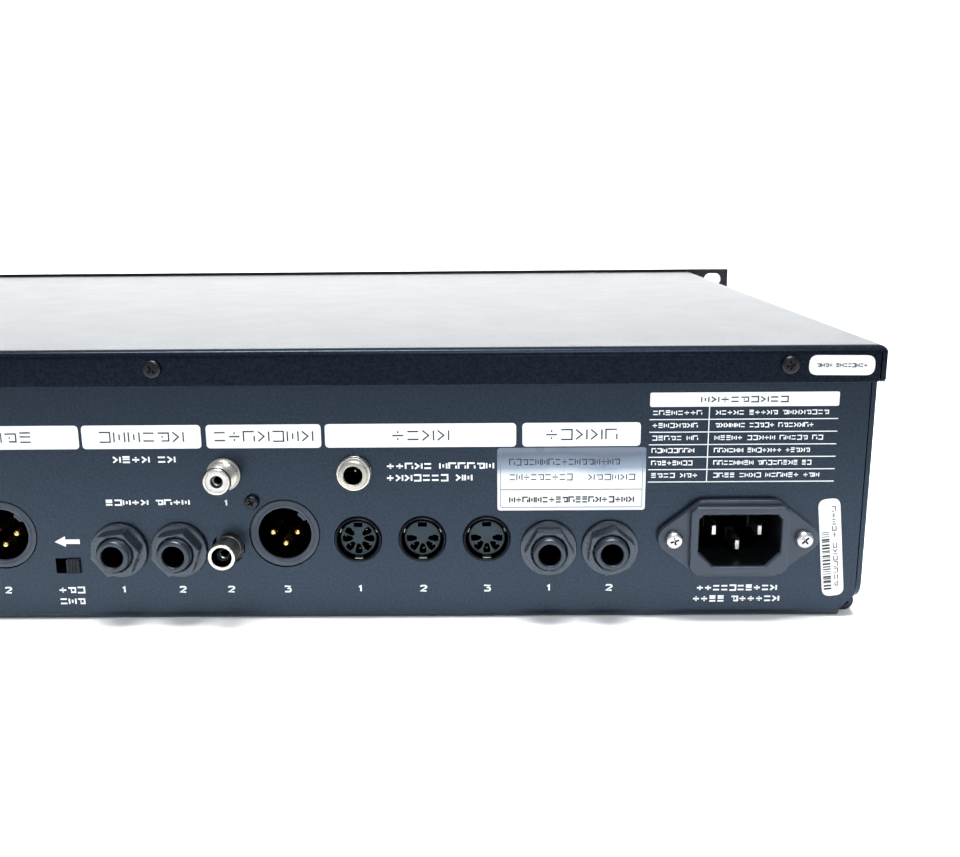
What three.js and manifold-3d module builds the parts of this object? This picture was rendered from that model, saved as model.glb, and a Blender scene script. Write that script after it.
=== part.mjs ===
// A two-unit rack effects processor: a folded steel chassis, a lift-off lid, a thick aluminium
// front panel with its controls, a rear wall full of connectors, and the boards inside.
// Millimetres. +X is right as seen from the front, -Y is the front, +Z is up.
// The origin is under the middle of the whole object, on the surface that it stands on.
import * as THREE from "three";
import { mergeVertices } from "three/addons/utils/BufferGeometryUtils.js";
import Module from "manifold-3d";

const wasm = await Module();
wasm.setup();

// ---------- driving dimensions ----------
const GAP = 0.3; // air left between pieces that touch on the real object
const SHEET = 1.5; // steel sheet of the chassis and the lid
const PANEL = { width: 482.6, height: 88.1, thick: 3.2, earStep: 0.5 }; // 19 inch, two units
const LID = { width: 438.6, top: 86.8, drop: 11.2 };
const BODY_DEPTH = 300; // rear wall's outer face to front panel's rear face
const BEND = 2.5; // outside radius of the chassis corners
const SLOT = { x: 465.1 / 2, z: 76.2 / 2, wide: 10, high: 7 }; // rack slots, from the panel's middle
const FRONT_PROUD = 15; // the level knobs stand this far off the front panel
const REAR_PROUD = 9; // the phono sockets stand this far off the rear wall
const ROUND = 20; // sides of a bore or a bush
const SMALL = 12; // sides of a screw or a shaft

const overallDepth = FRONT_PROUD + PANEL.thick + BODY_DEPTH + REAR_PROUD;
const rearFace = overallDepth / 2 - REAR_PROUD;
const frontFace = -overallDepth / 2 + FRONT_PROUD;
const panelRear = frontFace + PANEL.thick;
const chassisHalf = LID.width / 2 - SHEET - GAP;
const wallTop = LID.top - SHEET - GAP;
const boardTop = 9.6; // upper face of the two flat boards
const boardThick = 1.6;

// Rear positions: u runs to the right as seen from behind, z is the height.
const JACKS = {
  input_left: [-190, 23.5],
  input_right: [-171, 23.5],
  return_left: [-145, 23.5],
  return_right: [-126, 23.5],
  send_left: [-15.4, 23.5],
  send_right: [3.4, 23.5],
  pedal_1: [119.1, 23.5],
  pedal_2: [138.2, 23.5],
};
const XLRS = { output_left: [-87, 28.5], output_right: [-52.2, 28.5], digital_out: [36.7, 28.5] };
const DINS = { din_in: [59.6, 26.5], din_out: [79.7, 26.5], din_thru: [99.8, 26.5] };
const PHONOS = { phono_in: [18.8, 47.8], phono_out: [18.8, 23.9] };
const DC_JACK = [59.2, 48.2];
const INLET = { u: 177.6, z: 26.9, screw: 20 };
const LIFT = { u: -32.2, z: 18.2, wide: 8, high: 5.1, travel: 3.4 };
const LID_SCREWS = [-190.5, 0, 190.5];
const LID_SCREW_Z = LID.top - 5.7;
const XLR_SCREW = { x: 9.6, z: 10.5 }; // from the centre of a three-pole socket

// Front positions: u runs to the right as seen from the front.
const POWER = { u: -192, z: 44 };
const FRONT_JACK = [-160, 25];
const KNOBS = { input_level_knob: [-160, 62], output_1_knob: [156, 44], output_2_knob: [191, 44] };
const WHEEL = { u: 105, z: 44, radius: 23 };
const DISPLAY = { u: -72, z: 44, wide: 110, high: 54 };
const BUTTONS = {
  page_left_button: [8, 56], page_right_button: [32, 56], exit_button: [56, 56],
  cursor_down_button: [8, 32], cursor_up_button: [32, 32], enter_button: [56, 32],
};
const BUTTON = { wide: 12, high: 8, proud: 2 };

// ---------- materials ----------
const finish = (color, roughness, metalness) =>
  new THREE.MeshStandardMaterial({ color, roughness, metalness });
const FINISH = {
  powder_coat: finish(0x1a1d24, 0.5, 0.2),
  anodised: finish(0x15161a, 0.4, 0.6),
  black_plastic: finish(0x111215, 0.45, 0),
  socket_black: finish(0x08080a, 0.35, 0),
  nickel: finish(0xc9c6bc, 0.25, 1),
  zinc: finish(0xd0d0d2, 0.3, 1),
  black_screw: finish(0x18191c, 0.4, 0.8),
  circuit_board: finish(0x15502e, 0.55, 0),
  cast_alloy: finish(0x8c8f94, 0.5, 0.9),
  ferrite: finish(0x37342f, 0.7, 0),
  smoked_window: finish(0x0a1016, 0.1, 0),
  knob_metal: finish(0x2a2c31, 0.3, 0.7),
};

// ---------- solids ----------
const solid = (geometry) => {
  const bare = geometry.clone();
  bare.deleteAttribute("normal");
  bare.deleteAttribute("uv");
  const merged = mergeVertices(bare, 1e-4);
  const mesh = new wasm.Mesh({
    numProp: 3,
    vertProperties: merged.attributes.position.array,
    triVerts: new Uint32Array(merged.index.array),
  });
  return new wasm.Manifold(mesh);
};

const geometryOf = (made) => {
  const mesh = made.getMesh();
  const geometry = new THREE.BufferGeometry();
  geometry.setAttribute("position", new THREE.BufferAttribute(mesh.vertProperties, 3));
  geometry.setIndex(new THREE.BufferAttribute(mesh.triVerts, 1));
  geometry.computeVertexNormals();
  return geometry;
};

const join = (...pieces) => pieces.reduce((all, piece) => all.add(piece));
const cut = (from, ...tools) => tools.reduce((left, tool) => left.subtract(tool), from);

// A box between two corners.
const box = (x0, x1, y0, y1, z0, z1) => {
  const geometry = new THREE.BoxGeometry(x1 - x0, y1 - y0, z1 - z0);
  geometry.translate((x0 + x1) / 2, (y0 + y1) / 2, (z0 + z1) / 2);
  return solid(geometry);
};

// A box given by its size across and up, centred at x, z, and its span along y.
const block = (wide, high, y0, y1, x = 0, z = 0) =>
  box(x - wide / 2, x + wide / 2, y0, y1, z - high / 2, z + high / 2);

// A flat outline in x and z, extruded along y from y0 to y1.
const slab = (shape, y0, y1) => {
  const geometry = new THREE.ExtrudeGeometry(shape, {
    depth: y1 - y0,
    bevelEnabled: false,
    curveSegments: 6,
  });
  geometry.rotateX(Math.PI / 2);
  geometry.translate(0, y1, 0);
  return solid(geometry);
};

// A round piece about the y axis: the profile lists radius and y, from the inner end to the outer.
const turned = (profile, sides = ROUND, x = 0, z = 0) => {
  const points = profile.map(([radius, y]) => new THREE.Vector2(radius, y));
  const geometry = new THREE.LatheGeometry(points, sides);
  geometry.translate(x, 0, z);
  return solid(geometry);
};

// A flat outline in x and y, standing on z 0.
const plate = (plan, height) =>
  solid(new THREE.ExtrudeGeometry(plan, { depth: height, bevelEnabled: false }));

// A round post standing on the floor.
const post = (radius, z0, z1, x, y) => {
  const geometry = new THREE.CylinderGeometry(radius, radius, z1 - z0, 6);
  geometry.rotateX(Math.PI / 2);
  geometry.translate(x, y, (z0 + z1) / 2);
  return solid(geometry);
};

// A round bar along y.
const rod = (radius, y0, y1, x = 0, z = 0, sides = ROUND) =>
  turned([[0, y0], [radius, y0], [radius, y1], [0, y1]], sides, x, z);

// An outline with round ends, lying along x.
const obround = (wide, high, x = 0, z = 0) => {
  const r = high / 2;
  const shape = new THREE.Shape();
  shape.absarc(x + wide / 2 - r, z, r, -Math.PI / 2, Math.PI / 2);
  shape.absarc(x - wide / 2 + r, z, r, Math.PI / 2, (3 * Math.PI) / 2);
  return shape;
};

const polygon = (corners) => new THREE.Shape(corners.map(([x, z]) => new THREE.Vector2(x, z)));

// ---------- the three faces that pieces are built on ----------
// In the rear and front groups, y is 0 at the outer face and grows outwards, and x is -u.
const object = new THREE.Group();
const rear = new THREE.Group();
rear.position.y = rearFace;
const front = new THREE.Group();
front.position.y = frontFace;
front.rotation.z = Math.PI;
object.add(rear, front);

const add = (name, made, material, group = object, u = 0, z = 0) => {
  const mesh = new THREE.Mesh(geometryOf(made), material);
  mesh.name = name;
  mesh.position.set(-u, 0, z);
  group.add(mesh);
};

const innerWall = -SHEET - GAP; // where a piece behind the rear wall may start
const behindPanel = -PANEL.thick - GAP; // where a piece behind the front panel may start

// ---------- chassis ----------
const JACK_HOLE = 5.5;
const XLR_HOLE = 11.15;
const DIN_HOLE = 7.55;

const rearHoles = () => {
  const y0 = rearFace - SHEET - 1;
  const y1 = rearFace + 1;
  const round = (radius, [u, z], sides = ROUND) => rod(radius, y0, y1, -u, z, sides);
  return [
    ...Object.values(JACKS).map((at) => round(JACK_HOLE, at)),
    ...Object.values(XLRS).map((at) => round(XLR_HOLE, at)),
    ...Object.values(DINS).map((at) => round(DIN_HOLE, at)),
    ...Object.values(PHONOS).map((at) => round(5.2, at, SMALL)),
    round(4.2, DC_JACK, SMALL),
    block(28, 20.5, y0, y1, -INLET.u, INLET.z),
    block(LIFT.wide, LIFT.high, y0, y1, -LIFT.u, LIFT.z),
    ...[-1, 1].map((side) => round(1.8, [INLET.u + side * INLET.screw, INLET.z], SMALL)),
    ...LID_SCREWS.map((u) => round(1.7, [u, LID_SCREW_Z], SMALL)),
    rod(1.7, y0, y1, XLR_SCREW.x - XLRS.digital_out[0], XLR_SCREW.z + XLRS.digital_out[1], SMALL),
  ];
};

// The walls' outer line in plan, moved inwards by inset: from the right front end, round the two
// rear corners, to the left front end.
const wallLine = (inset, frontEnd) => {
  const half = chassisHalf - inset;
  const radius = BEND - inset;
  const corner = rearFace - BEND;
  const arc = (side) => [0, 1, 2, 3].map((step) => {
    const angle = ((side > 0 ? step : step + 3) * Math.PI) / 6;
    return [side * (chassisHalf - BEND) + radius * Math.cos(angle), corner + radius * Math.sin(angle)];
  });
  return [[half, frontEnd], ...arc(1), ...arc(-1), [-half, frontEnd]];
};

// The side and rear walls are one strip, with its front ends turned in.
const wallsPlan = () => {
  const end = panelRear + GAP;
  const turn = chassisHalf - 12;
  return polygon([
    ...wallLine(0, end),
    [-turn, end],
    [-turn, end + SHEET],
    ...wallLine(SHEET, end + SHEET).reverse(),
    [turn, end + SHEET],
    [turn, end],
  ]);
};

const VENTS = { count: 6, pitch: 12, wide: 3, low: 30, high: 62, y: -60 };

// Posts under the power board, then under the main board.
const STANDOFFS = [
  [-200, 20], [-160, 20], [-200, 115], [-160, 115],
  [-140, 20], [30, 20], [195, 20], [-140, 145], [30, 145], [195, 145],
];

const chassis = () => {
  const standoffs = STANDOFFS.map(([x, y]) => post(2.8, SHEET - 0.5, boardTop - boardThick - GAP, x, y));
  const vents = [];
  for (let i = 0; i < VENTS.count; i++)
    for (const side of [-1, 1]) {
      const y = VENTS.y + i * VENTS.pitch;
      const x = side * chassisHalf;
      vents.push(box(x - 4, x + 4, y, y + VENTS.wide, VENTS.low, VENTS.high));
    }
  const floorPlan = polygon(wallLine(0, panelRear + GAP));
  const sheet = join(plate(wallsPlan(), wallTop), plate(floorPlan, SHEET), ...standoffs);
  return cut(sheet, ...rearHoles(), ...vents);
};

add("chassis", chassis(), FINISH.powder_coat);

// ---------- lid ----------
const lid = () => {
  const half = LID.width / 2;
  const y0 = panelRear + GAP;
  const y1 = rearFace + GAP + SHEET;
  const outer = box(-half, half, y0, y1, LID.top - LID.drop, LID.top);
  const inner = box(-half + SHEET, half - SHEET, y0 - 1, y1 - SHEET, 0, LID.top - SHEET);
  const holes = LID_SCREWS.map((u) => rod(1.7, y1 - SHEET - 1, y1 + 1, -u, LID_SCREW_Z, SMALL));
  return cut(outer, inner, ...holes);
};
add("lid", lid(), FINISH.powder_coat);

// A pan-head screw that points inwards, with the underside of its head at y 0.
const screw = (head, rise, shank, depth) => turned([
  [0, -depth],
  [shank, -depth],
  [shank, 0],
  [head, 0],
  [head, rise * 0.45],
  [head * 0.7, rise],
  [0, rise],
], SMALL);

LID_SCREWS.forEach((u, i) => {
  const made = screw(2.75, 0.9, 1.4, 5).translate(0, SHEET + 2 * GAP, 0);
  add(`lid_screw_${i + 1}`, made, FINISH.black_screw, rear, u, LID_SCREW_Z);
});

// ---------- rear connectors ----------
const jackLength = 26;
const jackBore = 3.4;
const jackBush = 5.2;
const jackTip = 7.4;

// A jack socket behind a wall whose inner side is at y wall, with the board height below it.
const jack = (wall, height) => {
  const bush = turned([
    [0, wall - 2],
    [jackBush, wall - 2],
    [jackBush, jackTip - 1],
    [jackBush - 0.9, jackTip],
    [0, jackTip],
  ]);
  const housing = box(-7.6, 7.6, wall - jackLength, wall, GAP - height, 8);
  const bore = rod(jackBore, wall - jackLength + 3, jackTip + 1);
  return cut(join(bush, housing), bore);
};

// A hexagon given by the distance between two opposite sides.
const hexagon = (acrossFlats) => {
  const r = acrossFlats / Math.sqrt(3);
  return polygon([0, 1, 2, 3, 4, 5].map((i) => {
    const angle = ((i + 0.5) * Math.PI) / 3;
    return [r * Math.cos(angle), r * Math.sin(angle)];
  }));
};

// A flanged hexagon nut, turned by its own angle as it was tightened.
const jackNut = (degrees) => {
  const flange = turned([[0, GAP], [8.85, GAP], [8.85, 1.1], [8.1, 1.9], [0, 1.9]]);
  const hex = slab(hexagon(15), 1.5, 5.2);
  const made = cut(join(flange, hex), rod(jackBush + GAP, -1, 8));
  return made.rotate([0, degrees, 0]);
};

const NUT_TURNS = [12, -8, 25, 5, -22, -20, 30, -10];
Object.entries(JACKS).forEach(([name, [u, z]], i) => {
  add(`${name}_jack`, jack(innerWall, z - boardTop), FINISH.black_plastic, rear, u, z);
  add(`${name}_nut`, jackNut(NUT_TURNS[i]), FINISH.black_plastic, rear, u, z);
});

// A three-pole male socket, fitted from behind so that its rim is flush with the wall.
const xlr = (height) => {
  const rim = turned([[0, innerWall - 1], [10.8, innerWall - 1], [10.8, -0.3], [10.4, 0], [0, 0]]);
  const housing = box(-13, 13, innerWall - 20, innerWall, boardTop + GAP - height, 13);
  const screwHole = rod(1.8, innerWall - 10, innerWall + 1, XLR_SCREW.x, XLR_SCREW.z, SMALL);
  return cut(join(rim, housing), rod(8.25, innerWall - 14, 1), screwHole);
};
for (const [name, [u, z]] of Object.entries(XLRS)) {
  add(`${name}_xlr`, xlr(z), FINISH.black_plastic, rear, u, z);
}
const xlrScrew = screw(2.3, 1.8, 1.4, 7).translate(XLR_SCREW.x, GAP, XLR_SCREW.z);
add("xlr_screw", xlrScrew, FINISH.black_screw, rear, ...XLRS.digital_out);

// A round five-pole socket: a rim around a groove, and the insulator that carries the contacts.
const din = (height) => {
  const rim = turned([[0, innerWall - 1], [7.25, innerWall - 1], [7.25, 0.7], [6.95, 1], [0, 1]]);
  const housing = box(-8.9, 8.9, innerWall - 12, innerWall, boardTop + GAP - height, 8.9);
  const groove = turned([[5.7, -7], [6.6, -7], [6.6, 2], [5.7, 2], [5.7, -7]]);
  const face = rod(6, -1.4, 2);
  return cut(join(rim, housing), groove, face);
};
for (const [name, [u, z]] of Object.entries(DINS)) {
  add(`${name}_socket`, din(z), FINISH.socket_black, rear, u, z);
}

// A phono socket bolted to the wall: its shell steps down to a narrow mouth.
const phonoIn = () => {
  const shell = turned([
    [0, innerWall - 10],
    [4.8, innerWall - 10],
    [4.8, 1.6],
    [4.5, 2.4],
    [4.5, 5],
    [4.05, 5.5],
    [4.05, REAR_PROUD - 0.3],
    [3.8, REAR_PROUD],
    [0, REAR_PROUD],
  ], 16);
  return cut(shell, rod(1.6, -6, REAR_PROUD + 1, 0, 0, SMALL));
};

// A phono socket on the board: a straight shell around an insulator that sits deep in it.
const phonoOut = (height) => {
  const tip = REAR_PROUD;
  const outline = [[0, innerWall - 1], [4.2, innerWall - 1], [4.2, tip - 0.4], [3.9, tip], [0, tip]];
  const shell = turned(outline, 16);
  const housing = box(-4.4, 4.4, innerWall - 12, innerWall, boardTop + GAP - height, 6);
  const mouth = rod(3.1, 4, tip + 1, 0, 0, SMALL);
  return cut(join(shell, housing), mouth, rod(1.6, -6, 5, 0, 0, SMALL));
};
add("phono_in_socket", phonoIn(), FINISH.nickel, rear, ...PHONOS.phono_in);
add("phono_out_socket", phonoOut(PHONOS.phono_out[1]), FINISH.nickel, rear, ...PHONOS.phono_out);

// The low-voltage power socket: a threaded metal barrel with its nut and a centre pin.
const dcJack = () => {
  const barrel = turned([
    [0, innerWall - 12],
    [3.9, innerWall - 12],
    [3.9, GAP],
    [5.35, GAP],
    [5.35, 2.6],
    [4.7, 3.3],
    [4.7, 4],
    [0, 4],
  ], 16);
  const well = turned([[1, -9], [2.9, -9], [2.9, 5], [1, 5], [1, -9]], 16);
  const aboveThePin = rod(1.5, 2.5, 5, 0, 0, SMALL);
  return cut(barrel, well, aboveThePin);
};
add("dc_power_socket", dcJack(), FINISH.nickel, rear, ...DC_JACK);

// The mains inlet: a flange with two ears, a raised shroud, and the recess that takes the lead.
const inletFlange = () => {
  const ear = 4.8;
  const half = (side) => {
    const start = side > 0 ? -60 : 120;
    const arc = [0, 20, 40, 60, 80, 100, 120].map((step) => {
      const angle = ((start + step) * Math.PI) / 180;
      return [side * INLET.screw + ear * Math.cos(angle), ear * Math.sin(angle)];
    });
    const flat = [[12, 12.2], [9.5, 12.4], [-9.5, 12.4], [-12, 12.2]];
    return [...arc, ...flat.map(([x, z]) => [side * x, side * z])];
  };
  return polygon([...half(1), ...half(-1)]);
};

// The recess is chamfered deeply at its two lower corners, so that the lead goes in one way up.
const inletRecess = () => {
  const x = 12.5;
  const z = 8.2;
  const low = 4.6;
  const high = 1.3;
  return polygon([
    [-x + low, -z],
    [x - low, -z],
    [x, -z + low],
    [x, z - high],
    [x - high, z],
    [-x + high, z],
    [-x, z - high],
    [-x, -z + low],
  ]);
};

// A rectangle with its corners cut off.
const octagon = (wide, high, corner) => {
  const x = wide / 2;
  const z = high / 2;
  return polygon([
    [-x + corner, -z],
    [x - corner, -z],
    [x, -z + corner],
    [x, z - corner],
    [x - corner, z],
    [-x + corner, z],
    [-x, z - corner],
    [-x, -z + corner],
  ]);
};

const inlet = () => {
  const flange = slab(inletFlange(), GAP, 2.6);
  const shroud = slab(octagon(30.2, 21.6, 1.7), 1, 4.8);
  const body = block(27.2, 20, -24, 1);
  const screwHoles = [-1, 1].map((side) => rod(1.8, -1, 4, side * INLET.screw, 0, SMALL));
  return cut(join(flange, shroud, body), slab(inletRecess(), -15, 6), ...screwHoles);
};
add("mains_inlet", inlet(), FINISH.black_plastic, rear, INLET.u, INLET.z);
[-1, 1].forEach((side, i) => {
  const made = screw(2.8, 1.9, 1.4, 8).translate(0, 2.6 + GAP, 0);
  add(`inlet_screw_${i + 1}`, made, FINISH.zinc, rear, INLET.u + side * INLET.screw, INLET.z);
});

// The ground-lift switch: a housing behind the wall, and the slider that a fingernail moves.
const liftHousing = () => {
  const shell = block(13.4, 9.4, innerWall - 7, innerWall);
  const pocket = block(11, 7, innerWall - 5.5, innerWall - 2);
  const slot = block(LIFT.wide + 0.4, LIFT.high + 0.3, innerWall - 3, innerWall + 1);
  return cut(shell, pocket, slot);
};
const liftSlider = () => {
  const shoe = block(7, 6.4, innerWall - 5.2, innerWall - 2.3);
  const finger = block(4, LIFT.high - 0.6, innerWall - 3, 1.6);
  return join(shoe, finger);
};
add("lift_switch_housing", liftHousing(), FINISH.socket_black, rear, LIFT.u, LIFT.z);
add("lift_switch_slider", liftSlider(), FINISH.socket_black, rear, LIFT.u + LIFT.travel / 2, LIFT.z);

// ---------- front panel ----------
const frontPanel = () => {
  const half = PANEL.width / 2;
  const shape = polygon([[-half, 0], [half, 0], [half, PANEL.height], [-half, PANEL.height]]);
  const made = slab(shape, -PANEL.thick - PANEL.earStep, 0);
  const pocketHalf = LID.width / 2 + 2;
  const y0 = -PANEL.thick - PANEL.earStep - 1;
  const hole = (radius, u, z, sides = ROUND) => rod(radius, y0, 1, -u, z, sides);
  const slots = [-1, 1].flatMap((sx) => [-1, 1].map((sz) =>
    slab(obround(SLOT.wide, SLOT.high, sx * SLOT.x, PANEL.height / 2 + sz * SLOT.z), y0, 1)));
  return cut(
    made,
    box(-pocketHalf, pocketHalf, y0, -PANEL.thick, -1, PANEL.height + 1),
    ...slots,
    block(DISPLAY.wide, DISPLAY.high, y0, 1, -DISPLAY.u, DISPLAY.z),
    block(13.2, 19.2, y0, 1, -POWER.u, POWER.z),
    hole(JACK_HOLE, ...FRONT_JACK),
    hole(3.6, WHEEL.u, WHEEL.z, SMALL),
    ...Object.values(KNOBS).map(([u, z]) => hole(3.6, u, z, SMALL)),
    ...Object.values(BUTTONS).map(([u, z]) => block(BUTTON.wide + 0.6, BUTTON.high + 0.6, y0, 1, -u, z)),
  );
};
add("front_panel", frontPanel(), FINISH.anodised, front);

const displayWindow = block(DISPLAY.wide - 0.6, DISPLAY.high - 0.6, -2.6, -0.4);
const displayModule = block(DISPLAY.wide + 6, DISPLAY.high + 6, behindPanel - 6.5, behindPanel);
add("display_window", displayWindow, FINISH.smoked_window, front, DISPLAY.u, DISPLAY.z);
add("display_module", displayModule, FINISH.circuit_board, front, DISPLAY.u, DISPLAY.z);

// ---------- front controls ----------
const frontBoard = behindPanel - 9; // near face of the upright board

// A turned knob with a pointer line cut into its face, and its shaft.
const levelKnob = () => {
  const cap = turned([
    [0, 1],
    [8.2, 1],
    [8.2, 2.6],
    [7.3, 3.2],
    [6.9, FRONT_PROUD - 0.7],
    [6.2, FRONT_PROUD],
    [0, FRONT_PROUD],
  ], 24);
  const pointer = box(-0.5, 0.5, 10, 16, 2, 8);
  return join(cut(cap, pointer), rod(3, frontBoard + 6, 2, 0, 0, SMALL));
};
for (const [name, at] of Object.entries(KNOBS)) add(name, levelKnob(), FINISH.knob_metal, front, ...at);

// The value wheel has a finger dimple near its rim.
const valueWheel = () => {
  const r = WHEEL.radius;
  const disc = turned([[0, 1], [r - 0.8, 1], [r, 1.8], [r, 11], [r - 1.6, 12.6], [0, 12.6]], 32);
  const ball = new THREE.SphereGeometry(9, 16, 8);
  ball.translate(0, 19.6, r * 0.58);
  return join(cut(disc, solid(ball)), rod(3, frontBoard + 6, 2, 0, 0, SMALL));
};
add("value_wheel", valueWheel(), FINISH.knob_metal, front, WHEEL.u, WHEEL.z);
const encoder = block(14, 14, frontBoard + GAP, frontBoard + 5.7);
add("wheel_encoder", encoder, FINISH.socket_black, front, WHEEL.u, WHEEL.z);

// A button cap, the flange that keeps it behind the panel, and the stem that reaches its switch.
const button = () => join(
  block(BUTTON.wide, BUTTON.high, -4, BUTTON.proud),
  block(BUTTON.wide + 3, BUTTON.high + 3, behindPanel - 1.5, behindPanel),
  block(3, 3, behindPanel - 3, behindPanel),
);
for (const [name, at] of Object.entries(BUTTONS)) add(name, button(), FINISH.black_plastic, front, ...at);

// The upright board behind the panel carries the potentiometers and the button switches.
const controlBoard = () => {
  const outline = polygon([[176, 46], [140, 46], [140, 8], [-205, 8], [-205, 80], [176, 80]]);
  const board = slab(outline, frontBoard - boardThick, frontBoard);
  const pots = Object.values(KNOBS).map(([u, z]) =>
    block(11, 12, frontBoard - 0.5, frontBoard + 5.7, -u, z));
  const switches = Object.values(BUTTONS).map(([u, z]) =>
    block(6, 6, frontBoard - 0.5, frontBoard + 4.5, -u, z));
  return join(board, ...pots, ...switches);
};
add("control_board", controlBoard(), FINISH.circuit_board, front);

add("instrument_jack", jack(behindPanel, 12), FINISH.black_plastic, front, ...FRONT_JACK);
add("instrument_jack_nut", jackNut(15), FINISH.black_plastic, front, ...FRONT_JACK);

// The power switch: a body with a bezel, and the rocker that tips about a cross pivot.
const ROCKER = { pivot: -0.5, tilt: 8, half: 7.8, wide: 10, pin: 1.2, pinLength: 11.4 };
const crossRod = (radius, length) => rod(radius, -length / 2, length / 2, 0, 0, SMALL)
  .rotate([0, 0, 90])
  .translate(0, ROCKER.pivot, 0);
const switchBody = () => {
  const bezel = block(16, 22, GAP, 1.8);
  const body = block(12.6, 18.6, -24, 1);
  const mouth = block(ROCKER.wide + 0.8, 17.2, -9, 3);
  return cut(join(bezel, body), mouth, crossRod(ROCKER.pin + 0.15, ROCKER.pinLength + 0.6));
};
// The rocker rests with its top end pressed in, and has a pin at each side.
const rocker = () => {
  const h = ROCKER.half;
  const side = polygon([[-h, -3.2], [-h, 3.2], [0, 1.6], [h, 3.2], [h, -3.2], [4, -5.5], [-4, -5.5]]);
  const geometry = new THREE.ExtrudeGeometry(side, { depth: ROCKER.wide, bevelEnabled: false });
  geometry.translate(0, -ROCKER.pivot, -ROCKER.wide / 2);
  geometry.rotateZ((-ROCKER.tilt * Math.PI) / 180);
  geometry.rotateY(-Math.PI / 2);
  geometry.translate(0, ROCKER.pivot, 0);
  return join(solid(geometry), crossRod(ROCKER.pin, ROCKER.pinLength));
};
add("power_switch_body", switchBody(), FINISH.socket_black, front, POWER.u, POWER.z);
add("power_rocker", rocker(), FINISH.black_plastic, front, POWER.u, POWER.z);

// ---------- boards and what stands on them ----------
const board = (x0, x1, y0, y1) => box(x0, x1, y0, y1, boardTop - boardThick, boardTop);
add("main_board", board(-150, 205, 10, rearFace - SHEET - 1), FINISH.circuit_board);
add("power_board", board(-207, -153, 10, rearFace - SHEET - 28), FINISH.circuit_board);

// A heatsink: a base with upright fins.
const finned = (wide, deep, high, fins) => {
  const base = box(-wide / 2, wide / 2, -deep / 2, deep / 2, 0, 3);
  const pitch = (wide - 2) / (fins - 1);
  const blades = [];
  for (let i = 0; i < fins; i++) {
    const x = -wide / 2 + i * pitch;
    blades.push(box(x, x + 2, -deep / 2, deep / 2, 2, high));
  }
  return join(base, ...blades).translate(0, 0, boardTop + GAP);
};
add("processor_heatsink", finned(56, 50, 20, 8).translate(70, 60, 0), FINISH.cast_alloy);
add("power_heatsink", finned(24, 40, 30, 4).translate(-190, 40, 0), FINISH.cast_alloy);

// A laminated core with a wound bobbin showing in both faces.
const transformer = () => {
  const core = box(-20, 20, -16, 16, 0, 30);
  const windows = box(-12, 12, -17, -11, 5, 25);
  const back = box(-12, 12, 11, 17, 5, 25);
  return cut(core, windows, back).translate(-180, 95, boardTop + GAP);
};
add("power_transformer", transformer(), FINISH.ferrite);

export default object;
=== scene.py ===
"""A two-unit rack effects processor: the looks of every piece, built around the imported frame.

Pieces are drawn on a face of the unit in millimetres, with x to the right, y up and z towards
whoever looks at that face. The rear and front faces are placed in the row frame by a matrix.
"""

import random
from math import atan, cos, pi, radians, sin, sqrt, tan, tau

import bmesh
import bpy
from mathutils import Matrix, Vector
from mathutils.geometry import tessellate_polygon


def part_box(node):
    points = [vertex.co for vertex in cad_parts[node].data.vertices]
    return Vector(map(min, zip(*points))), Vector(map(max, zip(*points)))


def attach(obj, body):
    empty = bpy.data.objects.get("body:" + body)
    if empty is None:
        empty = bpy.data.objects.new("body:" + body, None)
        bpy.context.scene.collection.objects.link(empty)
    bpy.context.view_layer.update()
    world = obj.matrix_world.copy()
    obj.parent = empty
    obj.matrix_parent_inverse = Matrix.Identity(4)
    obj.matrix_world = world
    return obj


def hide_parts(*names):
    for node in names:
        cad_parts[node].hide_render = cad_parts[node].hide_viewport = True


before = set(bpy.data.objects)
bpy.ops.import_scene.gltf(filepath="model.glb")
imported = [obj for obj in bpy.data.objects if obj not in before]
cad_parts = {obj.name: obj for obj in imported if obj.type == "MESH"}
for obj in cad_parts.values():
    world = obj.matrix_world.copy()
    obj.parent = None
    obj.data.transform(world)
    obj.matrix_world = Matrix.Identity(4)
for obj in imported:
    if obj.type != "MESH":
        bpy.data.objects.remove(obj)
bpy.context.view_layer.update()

# ---------- places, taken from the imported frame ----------
MM = 0.001
UNIT = "unit"  # the body that everything fixed rides on


def corners(node):
    """The lowest and highest corner of a CAD node, in millimetres."""
    low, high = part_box(node)
    return low / MM, high / MM


CHASSIS_LOW, CHASSIS_HIGH = corners("chassis")
LID_LOW, LID_HIGH = corners("lid")
PANEL_LOW, PANEL_HIGH = corners("front_panel")
REAR_Y = CHASSIS_HIGH.y
FRONT_Y = PANEL_LOW.y
SHEET = 1.5  # the thickness of the folded steel
INSIDE = -1.8  # where the pieces behind the rear wall start, just clear of the sheet
HOUSING_FOOT = 9.9  # the height at which the rear sockets' housings end, above the main board

REAR = Matrix(((-1, 0, 0, 0), (0, 0, 1, REAR_Y), (0, 1, 0, 0), (0, 0, 0, 1)))
FRONT = Matrix(((1, 0, 0, 0), (0, 0, -1, FRONT_Y), (0, 1, 0, 0), (0, 0, 0, 1)))
WORLD = Matrix.Identity(4)


def on_rear(node, below_top=None):
    """A node's middle on the rear face: half its height, or a given distance below its top."""
    low, high = corners(node)
    up = (low.z + high.z) / 2 if below_top is None else high.z - below_top
    return -(low.x + high.x) / 2, up


def on_front(node):
    low, high = corners(node)
    return (low.x + high.x) / 2, (low.z + high.z) / 2


# ---------- outlines: lists of 2-D points, anticlockwise ----------
def circle(radius, at=(0, 0), sides=48, turn=0.0):
    angles = [turn + tau * i / sides for i in range(sides)]
    return [Vector((at[0] + radius * cos(angle), at[1] + radius * sin(angle))) for angle in angles]


STRAIGHT = radians(176)  # a corner wider than this is left as it is


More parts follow.
